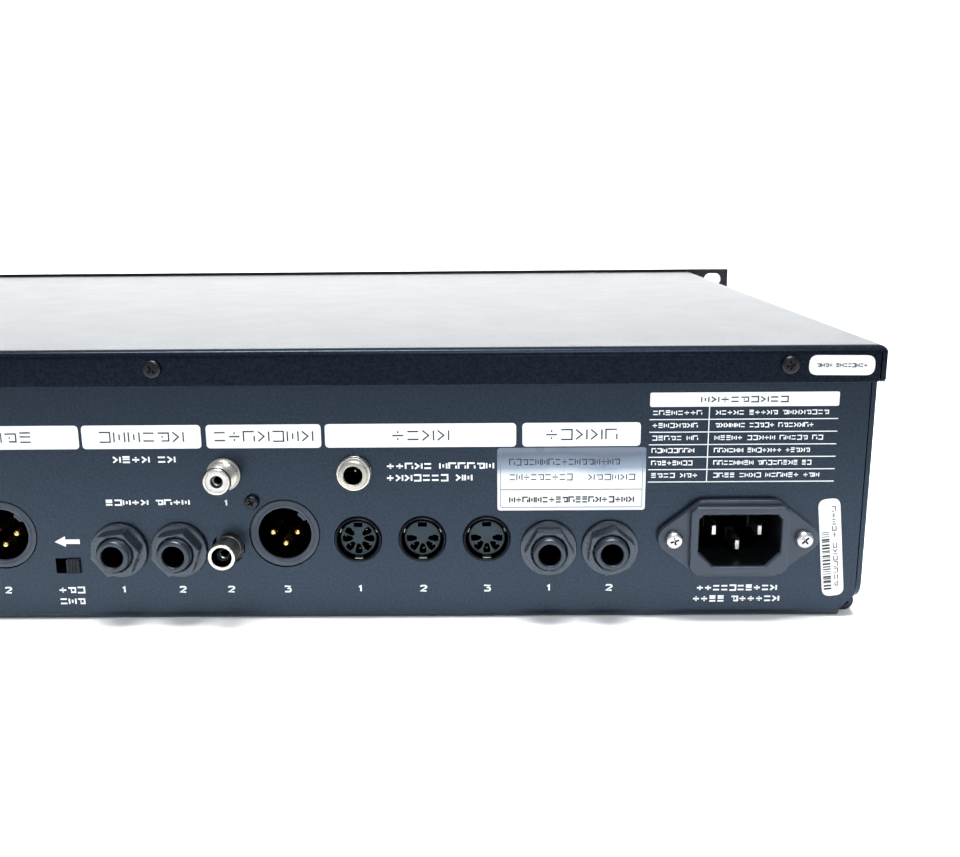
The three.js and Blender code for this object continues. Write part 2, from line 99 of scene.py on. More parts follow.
def rounded(points, radius, steps=5, closed=True):
    """Replaces each corner by an arc of the given radius, or less where the sides are short."""
    points = [Vector(p) for p in points]
    count = len(points)
    made = []
    for i, corner in enumerate(points):
        if not closed and i in (0, count - 1):
            made.append(corner)
            continue
        before, after = points[i - 1] - corner, points[(i + 1) % count] - corner
        angle = before.angle(after)
        if angle > STRAIGHT:
            made.append(corner)
            continue
        reach = min(radius / max(1e-6, tan(angle / 2)), before.length / 2, after.length / 2)
        start, end = corner + before.normalized() * reach, corner + after.normalized() * reach
        for step in range(steps + 1):
            t = step / steps
            made.append(start * (1 - t) ** 2 + corner * 2 * t * (1 - t) + end * t ** 2)
    return made


def rectangle(wide, high, at=(0, 0), radius=0.0, steps=5):
    x, y = wide / 2, high / 2
    points = [Vector((at[0] + i * x, at[1] + j * y)) for i, j in ((-1, -1), (1, -1), (1, 1), (-1, 1))]
    return rounded(points, radius, steps) if radius else points


def hexagon(across_flats, turn=0.0):
    return circle(across_flats / sqrt(3), sides=6, turn=radians(30) + turn)


def turned_about(points, angle, at=(0, 0)):
    spin = Matrix.Rotation(angle, 2)
    return [spin @ Vector(p) + Vector(at) for p in points]


def clipped_box(x, y, low, high, radius):
    """A box about the middle, its corners cut off by low at the bottom and by high at the top."""
    return rounded([(-x + low, -y), (x - low, -y), (x, -y + low), (x, y - high), (x - high, y),
                    (-x + high, y), (-x, y - high), (-x, -y + low)], radius, 3)


def fluted(flutes, sides, radius, z, depth=0.0):
    """A ring at height z whose radius falls by depth between its flutes."""
    ring = []
    for i in range(sides):
        angle = tau * i / sides
        reach = radius - depth * (0.5 - 0.5 * cos(flutes * angle))
        ring.append(Vector((reach * cos(angle), reach * sin(angle), z)))
    return ring


def raised(points, z):
    return [(*p, z) for p in points]


def area(points):
    return sum(a.x * b.y - b.x * a.y for a, b in zip(points, points[1:] + points[:1])) / 2


def moved_in(points, distance):
    """The outline moved to its left by distance, which is inwards on an anticlockwise one."""
    made = []
    for i, point in enumerate(points):
        a = (point - points[i - 1]).normalized()
        b = (points[(i + 1) % len(points)] - point).normalized()
        left_a, left_b = Vector((-a.y, a.x)), Vector((-b.y, b.x))
        made.append(point + (left_a + left_b) * distance / max(0.25, 1 + left_a.dot(left_b)))
    return made


# ---------- mesh building ----------
class Form:
    """Gathers the mesh of one piece, on one face, in millimetres."""

    def __init__(self, name, face=WORLD, at=(0, 0), lift=0.0):
        self.name = name
        self.matrix = face @ Matrix.Translation((at[0], at[1], lift))
        self.local = Matrix.Identity(4)
        self.mesh = bmesh.new()
        self.materials = []

    def slot(self, material):
        if material not in self.materials:
            self.materials.append(material)
        return self.materials.index(material)

    def point(self, place):
        return self.mesh.verts.new(self.local @ Vector(place).to_3d())

    def face(self, vertices, slot):
        if len(set(vertices)) >= 3:
            try:
                self.mesh.faces.new(list(dict.fromkeys(vertices))).material_index = slot
            except ValueError:
                pass

    def skin(self, material, rings, wrap=False, closed=True):
        """Joins neighbouring rings of points by quads. A ring of one point is a pole."""
        slot = self.slot(material)
        rows = [[self.point(p) for p in ring] for ring in rings]
        pairs = list(zip(rows, rows[1:])) + ([(rows[-1], rows[0])] if wrap else [])
        for low, high in pairs:
            count = max(len(low), len(high))
            for i in range(count if closed else count - 1):
                j = (i + 1) % count
                self.face([row[k % len(row)] for row, k in ((low, i), (low, j), (high, j), (high, i))], slot)
        return rows

    def fill(self, material, loops, z, facing=1):
        """A flat face at height z, bounded by the first loop, with the other loops as holes."""
        slot = self.slot(material)
        points = [p for loop in loops for p in loop]
        rows = [self.point((p.x, p.y, z)) for p in points]
        for tri in tessellate_polygon([[p.to_3d() for p in loop] for loop in loops]):
            a, b, c = (points[i] for i in tri)
            up = (b - a).cross(c - a) > 0
            order = tri if up == (facing > 0) else tuple(reversed(tri))
            self.face([rows[i] for i in order], slot)

    def bar(self, material, rings):
        """A section swept through the rings and closed at both ends."""
        self.skin(material, rings)
        for ring in (rings[0], rings[-1]):
            self.face([self.point(p) for p in ring], self.slot(material))

    def plate(self, material, outline, z0, z1, holes=(), edge=0.15, steps=2, back_edge=None):
        """A flat piece from z0 to z1, with rounded edges round its outline and its holes."""
        back_edge = edge if back_edge is None else back_edge
        loops = [outline if area(outline) > 0 else outline[::-1]]
        loops += [hole[::-1] if area(hole) > 0 else hole for hole in holes]
        levels = []
        for step in range(steps + 1 if back_edge else 1):
            angle = pi / 2 * step / steps if back_edge else pi / 2
            levels.append((back_edge * (1 - sin(angle)), z0 + back_edge * (1 - cos(angle))))
        for step in range(steps + 1 if edge else 1):
            angle = pi / 2 * step / steps if edge else 0
            levels.append((edge * (1 - cos(angle)), z1 - edge * (1 - sin(angle))))
        for loop in loops:
            self.skin(material, [raised(moved_in(loop, inset), z) for inset, z in levels])
        self.fill(material, [moved_in(loop, levels[0][0]) for loop in loops], z0, -1)
        self.fill(material, [moved_in(loop, levels[-1][0]) for loop in loops], z1, 1)

    def lathe(self, material, profile, at=(0, 0), sides=48, wrap=False):
        """Turns a profile of (radius, z) about the face's own z axis."""
        rings = []
        for radius, z in profile:
            if radius < 1e-6:
                rings.append([(at[0], at[1], z)])
            else:
                rings.append(raised(circle(radius, at, sides), z))
        self.skin(material, rings, wrap)

    def block(self, material, low, high, edge=0.2, steps=2):
        """A box between two corners, with its edges rounded."""
        middle = ((low[0] + high[0]) / 2, (low[1] + high[1]) / 2)
        outline = rectangle(high[0] - low[0], high[1] - low[1], middle, edge, steps)
        self.plate(material, outline, low[2], high[2], edge=edge * 0.8, steps=steps)

    def ribbon(self, material, points, width, z, thick=0.05):
        """A flat stroke along a line of 2-D points."""
        sides = ([], [])
        for i, point in enumerate(points):
            a = (point - points[i - 1]).normalized() if i else None
            b = (points[i + 1] - point).normalized() if i < len(points) - 1 else None
            a, b = a or b, b or a
            left_a, left_b = Vector((-a.y, a.x)), Vector((-b.y, b.x))
            shift = (left_a + left_b) / max(0.5, 1 + left_a.dot(left_b)) * width / 2
            sides[0].append(point + shift)
            sides[1].append(point - shift)
        outline = sides[1] + sides[0][::-1]
        slot, count = self.slot(material), len(points)
        rows = self.skin(material, [raised(outline, height) for height in (z - thick / 2, z + thick / 2)])
        for row in rows:
            for i in range(count - 1):
                self.face([row[i], row[i + 1], row[2 * count - 2 - i], row[2 * count - 1 - i]], slot)

    def finish(self, body=UNIT, replaces=(), slot=None, modifiers=(), sharp=40):
        """Turns the gathered mesh into an object in the row frame that rides on a body."""
        bmesh.ops.remove_doubles(self.mesh, verts=self.mesh.verts, dist=0.0005)
        bmesh.ops.recalc_face_normals(self.mesh, faces=self.mesh.faces)
        bmesh.ops.transform(self.mesh, matrix=self.matrix, verts=self.mesh.verts)
        bmesh.ops.scale(self.mesh, vec=(MM, MM, MM), verts=self.mesh.verts)
        data = bpy.data.meshes.new(self.name)
        self.mesh.to_mesh(data)
        self.mesh.free()
        for material in self.materials:
            data.materials.append(material)
        piece = bpy.data.objects.new(self.name, data)
        bpy.context.scene.collection.objects.link(piece)
        for kind, settings in modifiers:
            modifier = piece.modifiers.new(kind.title(), kind)
            for key, value in settings.items():
                setattr(modifier, key, value)
        for polygon in data.polygons:
            polygon.use_smooth = True
        data.set_sharp_from_angle(angle=radians(sharp))
        weighted = piece.modifiers.new("Weighted", "WEIGHTED_NORMAL")
        weighted.keep_sharp = True
        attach(piece, body)
        if replaces:
            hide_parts(*replaces)
        return piece


# ---------- materials ----------
class Paint:
    """A node material being built: its Principled shader and a few ways to feed it."""

    def __init__(self, name, **values):
        self.material = bpy.data.materials.new(name)
        self.material.use_nodes = True
        self.tree = self.material.node_tree
        self.shader = self.tree.nodes["Principled BSDF"]
        self.place = self.node("ShaderNodeTexCoord").outputs["Object"]
        for key, value in values.items():
            self.set(key, value)

    def set(self, key, value):
        socket = self.shader.inputs[key.replace("_", " ")]
        if isinstance(value, bpy.types.NodeSocket):
            self.tree.links.new(value, socket)
        else:
            socket.default_value = (*value, 1) if isinstance(value, tuple) and len(value) == 3 else value

    def node(self, kind, inputs=None, **settings):
        made = self.tree.nodes.new(kind)
        for key, value in settings.items():
            setattr(made, key, value)
        for key, value in (inputs or {}).items():
            if isinstance(value, bpy.types.NodeSocket):
                self.tree.links.new(value, made.inputs[key])
            else:
                made.inputs[key].default_value = value
        return made

    def noise(self, scale, detail=3.0, roughness=0.5, stretch=None):
        place = self.place
        if stretch:
            place = self.node("ShaderNodeMapping", {"Vector": place, "Scale": stretch}).outputs[0]
        return self.node("ShaderNodeTexNoise", {"Vector": place, "Scale": scale, "Detail": detail,
                                                "Roughness": roughness}).outputs["Fac"]

    def spread(self, value, low, high, start=0.3, end=0.7):
        """Maps a value between start and end to the range low to high."""
        return self.node("ShaderNodeMapRange", {"Value": value, "From Min": start, "From Max": end,
                                                "To Min": low, "To Max": high}).outputs[0]

    def blend(self, value, *stops):
        """Maps a value to colours, given as (place, colour) stops."""
        ramp = self.node("ShaderNodeValToRGB", {"Fac": value})
        points = ramp.color_ramp.elements
        while len(points) < len(stops):
            points.new(0.5)
        for point, (place, colour) in zip(points, stops):
            point.position = place
            point.color = (*colour, 1)
        return ramp.outputs[0]

    def bump(self, height, distance, strength=1.0, under=None):
        inputs = {"Height": height, "Distance": distance, "Strength": strength}
        if under:
            inputs["Normal"] = under
        self.set("Normal", self.node("ShaderNodeBump", inputs).outputs[0])
        return self.shader.inputs["Normal"].links[0].from_socket


def powder_coat(name, gloss, peel_depth):
    """Satin black powder coat: a fine orange peel, with a few dusty and worn places."""
    paint = Paint(name, Specular_Tint=(0.55, 0.74, 1.0))
    cloud, grain = paint.noise(9, 4), paint.noise(1300, 2)
    mottle = paint.node("ShaderNodeMath", {0: cloud, 1: grain}, operation="MULTIPLY").outputs[0]
    paint.set("Base_Color", paint.blend(mottle, (0.12, (0.0012, 0.0020, 0.0045)),
                                        (0.38, (0.0032, 0.0048, 0.0092))))
    paint.set("Specular_IOR_Level", paint.spread(grain, gloss - 0.06, gloss + 0.06, 0.35, 0.65))
    paint.set("Roughness", paint.spread(paint.noise(55, 4, 0.6), 0.28, 0.30))
    peel = paint.node("ShaderNodeTexVoronoi", {"Vector": paint.place, "Scale": 950.0}, feature="SMOOTH_F1")
    under = paint.bump(peel.outputs["Distance"], peel_depth, 0.5)
    paint.bump(grain, peel_depth * 0.4, 0.4, under)
    return paint.material


def surface(name, cloud, stops, rough, grain, **values):
    """The usual make-up of a material, each part fed by a noise of its own.

    The noise called cloud picks a colour between the stops. For the roughness, rough is a noise and
    a range, and for the bumps, grain is a noise, a depth and a strength. A noise is its scale,
    detail, roughness and stretch.
    """
    paint = Paint(name, **values)
    paint.set("Base_Color", paint.blend(paint.noise(*cloud), *stops))
    noise, low, high = rough
    paint.set("Roughness", paint.spread(paint.noise(*noise), low, high))
    noise, depth, strength = grain
    paint.bump(paint.noise(*noise), depth, strength)
    return paint.material


def screen_ink(name, colour, worn=0.04):
    """Silk-screened ink: slightly raised, uneven in thickness, with pinholes."""
    darker = tuple(c * (1 - worn * 3) for c in colour)
    return surface(name, (260, 4, 0.6), ((0.28, darker), (0.5, colour)), ((500, 2), 0.42, 0.6),
                   ((800, 2), 0.00004, 0.4))


def label_film():
    """Printed polyester film with a faint fibre grain and a glossy face."""
    colour = (0.84, 0.85, 0.83)
    darker = tuple(c * 0.93 for c in colour)
    return surface("label_film", (120, 5, 0.6), ((0.25, darker), (0.75, colour)), ((300, 3), 0.3, 0.45),
                   ((420, 3), 0.00004, 0.4), Coat_Weight=0.25, Coat_Roughness=0.18)


def foil_film():
    """The rating label's film: glossy and pale lavender, with a painted reflection that darkens it towards
    its top.
    """
    paint = Paint("lavender_film", Coat_Weight=0.2, Coat_Roughness=0.15)
    axes = paint.node("ShaderNodeSeparateXYZ", {"Vector": paint.place}).outputs
    drift = paint.node("ShaderNodeMath", {0: paint.noise(60, 2), 1: 0.003}, operation="MULTIPLY").outputs[0]
    height = paint.node("ShaderNodeMath", {0: axes["Z"], 1: drift}, operation="ADD").outputs[0]
    part = paint.spread(height, 0.0, 1.0, 0.0475, 0.0575)
    # Painted reflection: the film darkens with height to a dark blue, as a glossy sheet on the wall mirrors
    # the dark room. The pale lavender below is the film's own colour.
    paint.set("Base_Color", paint.blend(part, (0.0, (0.80, 0.81, 0.80)), (0.12, (0.72, 0.76, 0.79)),
                                        (0.34, (0.24, 0.30, 0.38)), (0.75, (0.10, 0.13, 0.19)),
                                        (1.0, (0.16, 0.19, 0.24))))
    paint.set("Roughness", paint.spread(paint.noise(150, 3), 0.25, 0.4))
    paint.bump(paint.noise(240, 3), 0.00003, 0.35)
    return paint.material


def plastic(name, colour, rough, grain=420, depth=0.00005, coat=0.0, lighter=1.6, shine=0.5):
    """Moulded plastic: mottled a little, with a spark-eroded grain and finger marks."""
    paler = tuple(c * lighter for c in colour)
    return surface(name, (45, 4), ((0.3, colour), (0.75, paler)), ((130, 4, 0.6), rough - 0.05, rough + 0.09),
                   ((grain, 3), depth, 0.5), Coat_Weight=coat, Coat_Roughness=0.2,
                   Specular_Tint=(0.68, 0.83, 1.0), Specular_IOR_Level=shine)


def plated(name, light, dark, rough, scratch=(1, 1, 1), scale=180, depth=0.00004):
    """Plated metal: tarnish in clouds, and fine marks from the tool or the hand."""
    return surface(name, (70, 5, 0.6), ((0.25, dark), (0.65, light)),
                   ((scale, 4, 0.6, scratch), rough - 0.05, rough + 0.13),
                   ((scale * 3, 2, 0.5, scratch), depth, 0.4), Metallic=1.0)


def brushed_panel():
    """Black anodised aluminium, brushed along its length."""
    hair = (34, 4, 0.6, (1.5, 60, 60))
    stops = ((0.3, (0.016, 0.017, 0.019)), (0.7, (0.034, 0.035, 0.038)))
    return surface("brushed_black_anodise", hair, stops, (hair, 0.3, 0.46),
                   ((60, 3, 0.6, (1.0, 70, 70)), 0.00003, 0.4), Metallic=0.75, Anisotropic=0.5)


def circuit_board():
    """Solder mask over copper: tracks show through as a lighter green."""
    paint = Paint("solder_mask", Coat_Weight=0.4, Coat_Roughness=0.15)
    cells = paint.node("ShaderNodeTexVoronoi", {"Vector": paint.place, "Scale": 210.0}, distance="MANHATTAN")
    tracks = cells.outputs["Distance"]
    paint.set("Base_Color", paint.blend(tracks, (0.15, (0.01, 0.085, 0.03)), (0.4, (0.018, 0.14, 0.05)),
                                        (0.55, (0.008, 0.07, 0.024))))
    paint.set("Roughness", paint.spread(paint.noise(90, 3), 0.35, 0.5))
    paint.bump(tracks, 0.0001, 0.3)
    return paint.material


def smoked_glass():
    """The display's tinted window: nearly black, glossy, faintly smeared."""
    smear = (25, 4, 0.6, (1, 1, 4))
    return surface("smoked_window", smear, ((0.3, (0.003, 0.005, 0.008)), (0.7, (0.006, 0.009, 0.014))),
                   (smear, 0.05, 0.14), (smear, 0.00004, 0.1), Specular_IOR_Level=0.6)


def lit_segment():
    """A lit segment behind the window, its glow uneven in a fine noise."""
    paint = Paint("lit_segment", Roughness=0.4)
    glow = paint.noise(300, 2)
    colour = paint.blend(glow, (0.3, (0.05, 0.42, 0.62)), (0.7, (0.12, 0.62, 0.85)))
    paint.set("Base_Color", colour)
    paint.set("Emission_Color", colour)
    paint.set("Emission_Strength", paint.spread(glow, 0.5, 0.9))
    return paint.material


COAT = powder_coat("powder_coat", 0.66, 0.00005)
LID_COAT = powder_coat("lid_powder_coat", 0.24, 0.00002)
# The cut edges and the unpainted inside of the sheet metal.
STEEL = surface("zinc_plated_steel", (60, 5, 0.6), ((0.3, (0.32, 0.32, 0.33)), (0.7, (0.5, 0.5, 0.48))),
                ((240, 3), 0.3, 0.5), ((700, 2), 0.00005, 0.4), Metallic=1.0)
INK = screen_ink("white_ink", (0.9, 0.92, 0.92))
DARK_INK = screen_ink("dark_ink", (0.012, 0.014, 0.018), 0.0)
FILM = label_film()
FOIL = foil_film()
PRINT = screen_ink("label_print", (0.012, 0.012, 0.016), 0.0)
GREY_PRINT = screen_ink("grey_print", (0.16, 0.18, 0.25), 0.0)
NYLON = plastic("glossy_nylon", (0.011, 0.0125, 0.017), 0.24, 600, 0.00003, 0.35, shine=0.8)
BUSH = plastic("threaded_bush_plastic", (0.010, 0.0115, 0.015), 0.3, 500, shine=0.8)
MOULDED = plastic("black_moulding", (0.017, 0.019, 0.026), 0.38, 380, 0.00006, shine=0.75)
SOCKET = plastic("socket_black", (0.004, 0.0045, 0.006), 0.33, 450, shine=0.2)
# Painted shade: a near-black, matt colour laid on the walls and floors of hollows, where shade falls.
PAINTED_SHADE = plastic("painted_shade_hollow", (0.0006, 0.0006, 0.0008), 0.9, 300, shine=0.0)
INSULATOR = plastic("grey_insulator", (0.019, 0.028, 0.032), 0.45, 500, shine=0.35)
WHITE_NYLON = plastic("white_nylon", (0.62, 0.62, 0.58), 0.4, 500, 0.00004, 0.0, 1.15)
RUBBER = plastic("soft_black_rubber", (0.012, 0.012, 0.013), 0.62, 300, 0.0001)
NICKEL = plated("nickel_plate", (0.76, 0.73, 0.66), (0.54, 0.51, 0.46), 0.22)
SATIN_NICKEL = plated("satin_nickel", (0.55, 0.53, 0.47), (0.33, 0.31, 0.27), 0.32)
GOLD = plated("gold_flash", (0.95, 0.66, 0.26), (0.7, 0.45, 0.16), 0.2)
CHROME = plated("zinc_chromate", (0.66, 0.66, 0.68), (0.42, 0.42, 0.44), 0.26)
BLACK_ZINC = plated("black_zinc", (0.045, 0.045, 0.05), (0.018, 0.018, 0.02), 0.3)
CONTACT = plated("tinned_contact", (0.7, 0.68, 0.63), (0.42, 0.4, 0.36), 0.28)
CAST = plated("cast_alloy", (0.48, 0.49, 0.5), (0.3, 0.31, 0.32), 0.45, (1, 12, 1))
COPPER = plated("copper_wire", (0.72, 0.32, 0.16), (0.42, 0.17, 0.08), 0.3, (1, 1, 14))
FERRITE = plastic("ferrite", (0.03, 0.028, 0.025), 0.62, 260, 0.0001)
BRUSHED = brushed_panel()
BOARD = circuit_board()
GLASS = smoked_glass()
SEGMENT = lit_segment()
KNOB = plated("dark_knob_alloy", (0.075, 0.078, 0.088), (0.035, 0.037, 0.043), 0.24, (1, 1, 1), 260)


# ---------- numerals for the dials and the ports, and marks that stand where print would be ----------
# Each numeral is drawn in a cell one unit high, as strokes of (x, y) corners.
NUMERALS = {
    "0": ["0.15,0 0,0.15 0,0.85 0.15,1 0.65,1 0.8,0.85 0.8,0.15 0.65,0 0.15,0"],
    "1": ["0,0.8 0.25,1 0.25,0"],
    "2": ["0,0.85 0.15,1 0.65,1 0.8,0.85 0.8,0.65 0,0 0.8,0"],
    "3": ["0,1 0.8,1 0.4,0.6 0.65,0.6 0.8,0.45 0.8,0.15 0.65,0 0,0"],
    "4": ["0.6,0 0.6,1 0,0.3 0.85,0.3"],
    "6": ["0.75,1 0.15,1 0,0.85 0,0.15 0.15,0 0.65,0 0.8,0.15 0.8,0.4 0.65,0.55 0,0.55"],
    "8": ["0.15,0.5 0,0.35 0,0.15 0.15,0 0.65,0 0.8,0.15 0.8,0.35 0.65,0.5 0.15,0.5 0,0.65 0,0.85 0.15,1",
          "0.15,1 0.65,1 0.8,0.85 0.8,0.65 0.65,0.5"],
}
INK_RISE = 0.03

# Meaningless marks that fill the place of a line of text.
MARKS = [
    ["0,0.1 0.9,0.1", "0,0.9 0.9,0.9"],
    ["0,1 0,0", "0.45,0.8 0.45,0.2", "0.9,1 0.9,0"],
    ["0,0 0.9,0 0.9,1 0,1"],
    ["0,0.5 0.9,0.5", "0.45,0.95 0.45,0.75", "0.45,0.25 0.45,0.05"],
    ["0,1 0.5,0.5 0,0", "0.9,1 0.9,0"],
    ["0,0 0,1 0.9,1", "0.9,0.55 0.9,0"],
    ["0,0.9 0.9,0.9 0.9,0.1 0.3,0.1", "0.3,0.5 0.45,0.5"],
    ["0,1 0.9,1", "0,0.6 0.9,0.6", "0,0.05 0.9,0.05"],
]


def strokes_of(glyph):
    return [[Vector([float(c) for c in pair.split(",")]) for pair in stroke.split()] for stroke in glyph]


def glyph_width(glyph):
    return max(p.x for stroke in strokes_of(glyph) for p in stroke)


SPACE = 0.34  # between two marks, as a part of a mark's height


def write(form, ink, glyphs, low, size, weight, z, right, thick=0.05):
    """Draws a row of glyphs from the lower left corner low, stretched to end at right."""
    widths = [glyph_width(glyph) if glyph else 0.5 for glyph in glyphs]
    cell = (right - low[0]) / (sum(widths) + SPACE * (len(glyphs) - 1))
    x, foot = low[0], low[1] + weight / 2
    for glyph, width in zip(glyphs, widths):
        for stroke in strokes_of(glyph) if glyph else []:
            points = [Vector((x + p.x * cell, foot + p.y * (size - weight))) for p in stroke]
            form.ribbon(ink, points, weight, z, thick)
        x += (width + SPACE) * cell


def printed(form, outline, holes=(), ink=None, z=INK_RISE, thick=0.05, edge=0.02):
    """A flat shape in ink, a hair above the surface."""
    form.plate(ink or INK, outline, z, z + thick, holes, edge=edge, steps=1)


def numeral(form, number, middle, size, weight):
    """A number drawn round a middle point."""
    digits = [NUMERALS[digit] for digit in str(number)]
    width = sum(glyph_width(digit) for digit in digits) * size + (len(digits) - 1) * size * 0.44
    low = Vector(middle) - Vector((width / 2, size / 2))
    write(form, INK, digits, low, size, weight, INK_RISE, low.x + width)


def murmur(rng, count):
    """A row of meaningless marks, now and then broken by a space."""
    row = []
    since = 0
    for _ in range(count):
        since += 1
        if since > rng.randint(4, 8) and len(row) < count - 2:
            row.append(None)
            since = 0
        else:
            row.append(rng.choice(MARKS))
    return row


# ---------- pieces shared by both faces ----------
def cross_recess(radius, arm):
    """The outline of a Phillips recess."""
    r, a = radius, arm / 2
    points = [(r, -a), (r, a), (a, a), (a, r), (-a, r), (-a, a), (-r, a), (-r, -a), (-a, -a), (-a, -r),
              (a, -r), (a, -a)]
    return rounded(points, arm * 0.12, 2)


def pan_screw(name, face, at, lift, head, rise, metal, turn=0.0, **kw):
    """A domed screw head with a cross recess sunk into the dome."""
    form = Form(name, face, at, lift)
    slot = turned_about(cross_recess(head * 0.5, head * 0.2), turn)
    flat = head * 0.66
    profile = [(head - 0.12, 0.0), (head, 0.12)]
    for step in range(7):
        angle = pi / 2 * step / 6
        profile.append((flat + (head - flat) * cos(angle), 0.12 + (rise - 0.12) * sin(angle)))
    form.lathe(metal, profile, sides=44)
    form.fill(metal, [circle(flat, sides=44), slot[::-1]], rise)
    lip, floor = [p * 0.93 for p in slot], [p * 0.7 for p in slot]
    form.skin(metal, [raised(slot, rise), raised(lip, rise - 0.14)])
    # The walls of the recess are painted shade.
    form.skin(PAINTED_SHADE, [raised(lip, rise - 0.14), raised(floor, rise * 0.2)])
    form.fill(metal, [floor], rise * 0.2)
    form.lathe(metal, [(head - 0.12, 0.0), (1.35, 0.0), (1.35, -4.2), (0.8, -4.9), (0, -4.9)], sides=20)
    return form.finish(**kw)


def thread(radius, low, high, pitch=0.75, depth=0.22):
    """The profile of a threaded length, from low to high."""
    profile = []
    z = low
    while z < high - pitch * 0.4:
        profile += [(radius, z), (radius, z + pitch * 0.25), (radius - depth, z + pitch * 0.5),
                    (radius - depth, z + pitch * 0.65)]
        z += pitch
    return profile + [(radius, high)]


def housing(form, material, wide, top, low, radius, back, front=INSIDE, holes=(), edge=0.4):
    """The moulded block behind a socket, between two heights about the socket's middle."""
    outline = rectangle(wide, top - low, (0, (top + low) / 2), radius)
    form.plate(material, outline, back, front, holes, edge=edge)


def quarter_inch_jack(name, face, at, wall, low, replaces):
    """A jack socket: the threaded bush, its lip and bore, and the housing behind the wall."""
    form = Form(name, face, at)
    bush, bore, tip, top = 5.15, 3.4, 7.4, 8
    lip = [(bush - 0.05, tip - 0.9), (bush - 0.12, tip - 0.45), (bush - 0.42, tip - 0.08), (bush - 0.6, tip),
           (bore + 0.5, tip), (bore + 0.22, tip - 0.06), (bore + 0.04, tip - 0.3), (bore, tip - 0.6)]
    form.lathe(BUSH, thread(bush, wall, tip - 1.1) + lip, sides=72)
    # The bore is lined with painted shade.
    form.lathe(PAINTED_SHADE, [(bore, tip - 0.6), (bore, -6), (bore - 0.25, -6.4), (bore - 0.25, -24.8), (0, -24.8)])
    housing(form, MOULDED, 15.2, top, low, 1.0, wall - 26, wall, [circle(bush - 0.3)], 0.5)
    for x in (-7.45, 7.45):
        for z in (wall - 7, wall - 14, wall - 21):
            form.block(CONTACT, (x - 0.3, low + 0.05, z - 1), (x + 0.3, top - 5, z + 1), 0.1)
    return form.finish(replaces=(replaces,), slot="black_plastic")


NUT_FLATS = 13.4


def hex_nut(name, face, at, turn, replaces):
    """A flanged hexagon nut, its edges broken by a small chamfer."""
    form = Form(name, face, at)
    inner = 5.5
    form.lathe(NYLON, [(inner, 0.3), (8.65, 0.3), (8.85, 0.5), (8.85, 1.0), (8.68, 1.32), (8.3, 1.5),
                       (6.5, 1.6)],
               sides=96)
    outline = rounded(hexagon(NUT_FLATS, turn), 0.45, 3)
    form.plate(NYLON, outline, 1.5, 5.2, [circle(inner, sides=64)], edge=0.4, back_edge=0)
    return form.finish(replaces=(replaces,), slot="black_plastic", sharp=30)


# ---------- chassis ----------
# Lays a plate level that is drawn as if it stood in the rear wall.
LEVEL = Matrix(((1, 0, 0), (0, 0, 1), (0, 1, 0))).to_4x4()

JACK_NAMES = ["input_left", "input_right", "return_left", "return_right", "send_left", "send_right",
              "pedal_1", "pedal_2"]
XLR_NAMES = ["output_left_xlr", "output_right_xlr", "digital_out_xlr"]
DIN_NAMES = ["din_in_socket", "din_out_socket", "din_thru_socket"]
JACK_AT = {name: on_rear(f"{name}_nut") for name in JACK_NAMES}
XLR_AT = {name: on_rear(name, 13.0) for name in XLR_NAMES}
DIN_AT = {name: on_rear(name, 8.9) for name in DIN_NAMES}
PHONO_IN_AT = on_rear("phono_in_socket")
PHONO_OUT_AT = on_rear("phono_out_socket", 6.0)
DC_AT = on_rear("dc_power_socket")
INLET_AT = on_rear("mains_inlet")
LIFT_AT = on_rear("lift_switch_housing")
PORT_AT = {**JACK_AT, **XLR_AT, **DIN_AT}
PORT_NUMBER_Z = 10.1  # the height of the middle of the numbers under the ports
XLR_SCREW_AT = on_rear("xlr_screw")
LID_SCREW_AT = [on_rear(f"lid_screw_{i}") for i in (1, 2, 3)]
INLET_SCREW_AT = [on_rear(f"inlet_screw_{i}") for i in (1, 2)]

HALF = CHASSIS_HIGH.x
TOP = CHASSIS_HIGH.z
DEPTH = CHASSIS_HIGH.y - CHASSIS_LOW.y
LID_HALF = LID_HIGH.x
REAR_BEND = 2.6  # the outer radius of the fold between the rear wall and the floor
# How far each side screw is in front of the rear wall, and its height.
SIDE_SCREW_AT = [(depth, LID_HIGH.z - 5.7) for depth in (40, 150, 262)]


def on_side(side, x):
    """A side wall's own axes: x forwards from the rear face, y up and z outwards."""
    return Matrix(((0, 0, side, side * x), (0, 1, 0, 0), (-1, 0, 0, 0), (0, 0, 0, 1)))


def rear_wall():
    """The chassis' rear sheet, with its holes and its clipped lower corners."""
    form = Form("chassis_rear_wall", REAR)
    edge, clip, low = HALF - 1.8, 4.6, REAR_BEND
    outline = rounded([(-edge + clip, low), (edge - clip, low), (edge, low + clip), (edge, TOP), (-edge, TOP),
                       (-edge, low + clip)], 0.5, 2)
    holes = [circle(5.5, at) for at in JACK_AT.values()]
    holes += [circle(11.15, at, 64) for at in XLR_AT.values()]
    holes += [circle(7.55, at) for at in DIN_AT.values()]
    holes += [circle(5.2, PHONO_IN_AT), circle(5.2, PHONO_OUT_AT), circle(4.2, DC_AT)]
    holes += [circle(1.7, at, 20) for at in LID_SCREW_AT + [XLR_SCREW_AT]]
    holes += [circle(1.8, at, 20) for at in INLET_SCREW_AT]
    holes += [rectangle(28, 20.5, INLET_AT, 1.0), rectangle(8, 5.1, LIFT_AT, 0.5)]
    form.plate(COAT, outline, -SHEET, 0, holes, edge=0, back_edge=0)
    return form.finish(replaces=("chassis",), slot="powder_coat", sharp=50)


def bend_section(radius, run_up, run_in, steps=6):
    """A folded sheet seen from its end: down a wall, round the corner and along the floor."""
    def bow(reach):
        angles = [pi / 2 * step / steps for step in range(steps + 1)]
        return [Vector((radius - reach * cos(angle), radius - reach * sin(angle))) for angle in angles]

    outer = [Vector((0, run_up)), *bow(radius), Vector((run_in, 0))]
    inner = [Vector((SHEET, run_up)), *bow(radius - SHEET), Vector((run_in, SHEET))]
    return outer + inner[::-1]


